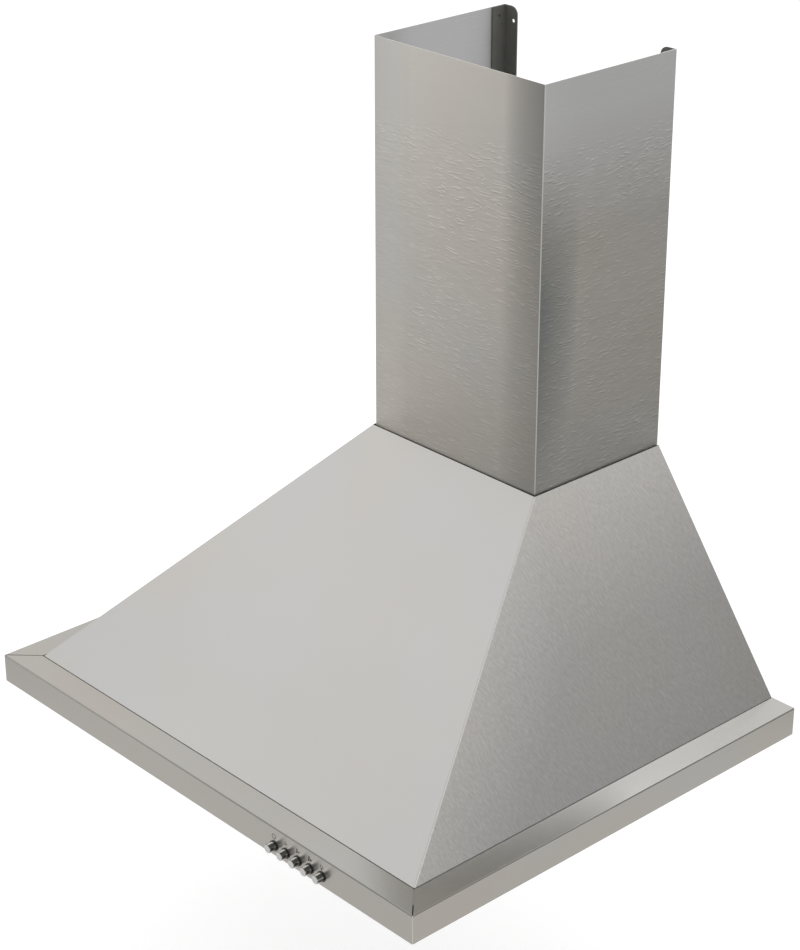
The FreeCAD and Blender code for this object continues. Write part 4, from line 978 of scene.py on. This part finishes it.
def make_floor():
    """A pale floor below the hood. The camera sees it white but for the soft shadow;
    in gloss and glass it is a bright pool round the hood that ends about a metre out, and
    it brightens again far to the right and far to the left."""
    data = bpy.data.meshes.new("floor")
    size = FLOOR_HALF
    data.from_pydata([(-size, -size, FLOOR_LEVEL), (size, -size, FLOOR_LEVEL),
                      (size, size, FLOOR_LEVEL), (-size, size, FLOOR_LEVEL)], [],
                     [(0, 1, 2, 3)])
    floor = bpy.data.objects.new("floor", data)
    bpy.context.scene.collection.objects.link(floor)
    graph = Graph("floor_white")
    speckle = graph.noise(graph.position, scale=40.0, detail=3.0)
    base = graph.mix(speckle, (FLOOR_TONE - FLOOR_SPECKLE,) * 3,
                     (FLOOR_TONE + FLOOR_SPECKLE,) * 3)
    away = graph.add("ShaderNodeVectorMath", operation="DISTANCE")
    graph.feed(away.inputs[0], graph.position)
    graph.feed(away.inputs[1], POOL_CENTRE)
    pool = graph.remap(away.outputs["Value"], POOL_NEAR, POOL_FAR, 1.0, 0.0)
    across = graph.separate(graph.position)[0]
    right = graph.remap(across, RIGHT_START, RIGHT_END, 0.0, RIGHT_SHARE)
    left = graph.remap(across, LEFT_START, LEFT_END, 0.0, LEFT_SHARE)
    pool = graph.math("ADD", pool, graph.math("ADD", right, left))
    path = graph.add("ShaderNodeLightPath")
    mirrored = graph.math(
        "MAXIMUM", path.outputs["Is Glossy Ray"], path.outputs["Is Transmission Ray"])
    seen = graph.times(path.outputs["Is Camera Ray"], FLOOR_WHITE)
    glow = graph.math("MULTIPLY_ADD", graph.times(mirrored, pool), FLOOR_GLOW, seen)
    graph.set(Base_Color=base, Roughness=0.9, Specular_IOR_Level=0.1,
              Emission_Color=(1.0, 1.0, 1.0, 1.0), Emission_Strength=glow)
    data.materials.append(graph.material)


def smooth_step(tree, direction, axis, start, end, low, high):
    """A value that turns smoothly from low to high as a direction nears an axis."""
    facing = tree.nodes.new("ShaderNodeVectorMath")
    facing.operation = "DOT_PRODUCT"
    tree.links.new(direction, facing.inputs[0])
    facing.inputs[1].default_value = axis
    level = tree.nodes.new("ShaderNodeMapRange")
    level.interpolation_type = "SMOOTHSTEP"
    tree.links.new(facing.outputs["Value"], level.inputs["Value"])
    for name, value in (("From Min", start), ("From Max", end),
                        ("To Min", low), ("To Max", high)):
        level.inputs[name].default_value = value
    return level.outputs["Result"]


def make_sky():
    """A soft surround: bright overhead and to the left, dim low down in front and to the
    right. The camera itself sees it white."""
    world = bpy.data.worlds.new("studio")
    bpy.context.scene.world = world
    world.use_nodes = True
    tree = world.node_tree
    background = tree.nodes["Background"]
    direction = tree.nodes.new("ShaderNodeTexCoord").outputs["Generated"]
    bright = smooth_step(
        tree, direction, SKY_AXIS, SKY_START, SKY_END, SKY_DARK, SKY_BRIGHT)
    dim = smooth_step(tree, direction, DIM_AXIS, DIM_START, DIM_END, 1.0, DIM_SHARE)
    level = tree.nodes.new("ShaderNodeMath")
    level.operation = "MULTIPLY"
    tree.links.new(bright, level.inputs[0])
    tree.links.new(dim, level.inputs[1])
    path = tree.nodes.new("ShaderNodeLightPath")
    pick = tree.nodes.new("ShaderNodeMix")
    tree.links.new(path.outputs["Is Camera Ray"], pick.inputs["Factor"])
    tree.links.new(level.outputs[0], pick.inputs["A"])
    pick.inputs["B"].default_value = 1.0
    tree.links.new(pick.outputs["Result"], background.inputs["Strength"])
    background.inputs["Color"].default_value = (1.0, 1.0, 1.0, 1.0)


def add_softbox(name, direction, distance, width, height, radiance):
    """A rectangular lamp that faces the hood; its power follows from its radiance."""
    data = bpy.data.lights.new(name, "AREA")
    data.shape = "RECTANGLE"
    data.size = width
    data.size_y = height
    data.energy = math.pi * width * height * radiance
    lamp = bpy.data.objects.new(name, data)
    lamp.location = SCENE_CENTRE + direction * distance
    lamp.rotation_mode = "QUATERNION"
    lamp.rotation_quaternion = direction.to_track_quat("Z", "Y")
    lamp.visible_camera = False
    bpy.context.scene.collection.objects.link(lamp)


make_floor()
make_sky()
add_softbox("key_softbox", KEY_DIRECTION, distance=2.6, width=1.8, height=1.8, radiance=0.25)
add_softbox("side_softbox", SIDE_DIRECTION, distance=2.2, width=1.3, height=1.1, radiance=0.9)
add_softbox("back_softbox", BACK_DIRECTION, distance=2.6, width=1.6, height=1.4, radiance=1.05)


# ---------------------------------------------------------------- camera

CAMERA_AZIMUTH = math.radians(47.44)
CAMERA_ELEVATION = math.radians(25.29)
CAMERA_PLACE = (1.5309, -1.6444, 1.2304)
CAMERA_LENS = 92.32
SENSOR_WIDTH = 36.0


def make_camera():
    """The photograph's own viewpoint, worked out from the hood's corners."""
    data = bpy.data.cameras.new("camera")
    data.lens = CAMERA_LENS
    data.sensor_width = SENSOR_WIDTH
    camera = bpy.data.objects.new("camera", data)
    back = Vector((
        math.sin(CAMERA_AZIMUTH) * math.cos(CAMERA_ELEVATION),
        -math.cos(CAMERA_AZIMUTH) * math.cos(CAMERA_ELEVATION),
        math.sin(CAMERA_ELEVATION)))
    camera.location = CAMERA_PLACE
    camera.rotation_mode = "QUATERNION"
    camera.rotation_quaternion = (-back).to_track_quat("-Z", "Y")
    bpy.context.scene.collection.objects.link(camera)
    bpy.context.scene.camera = camera


make_camera()
bpy.context.scene.view_settings.view_transform = "Standard"
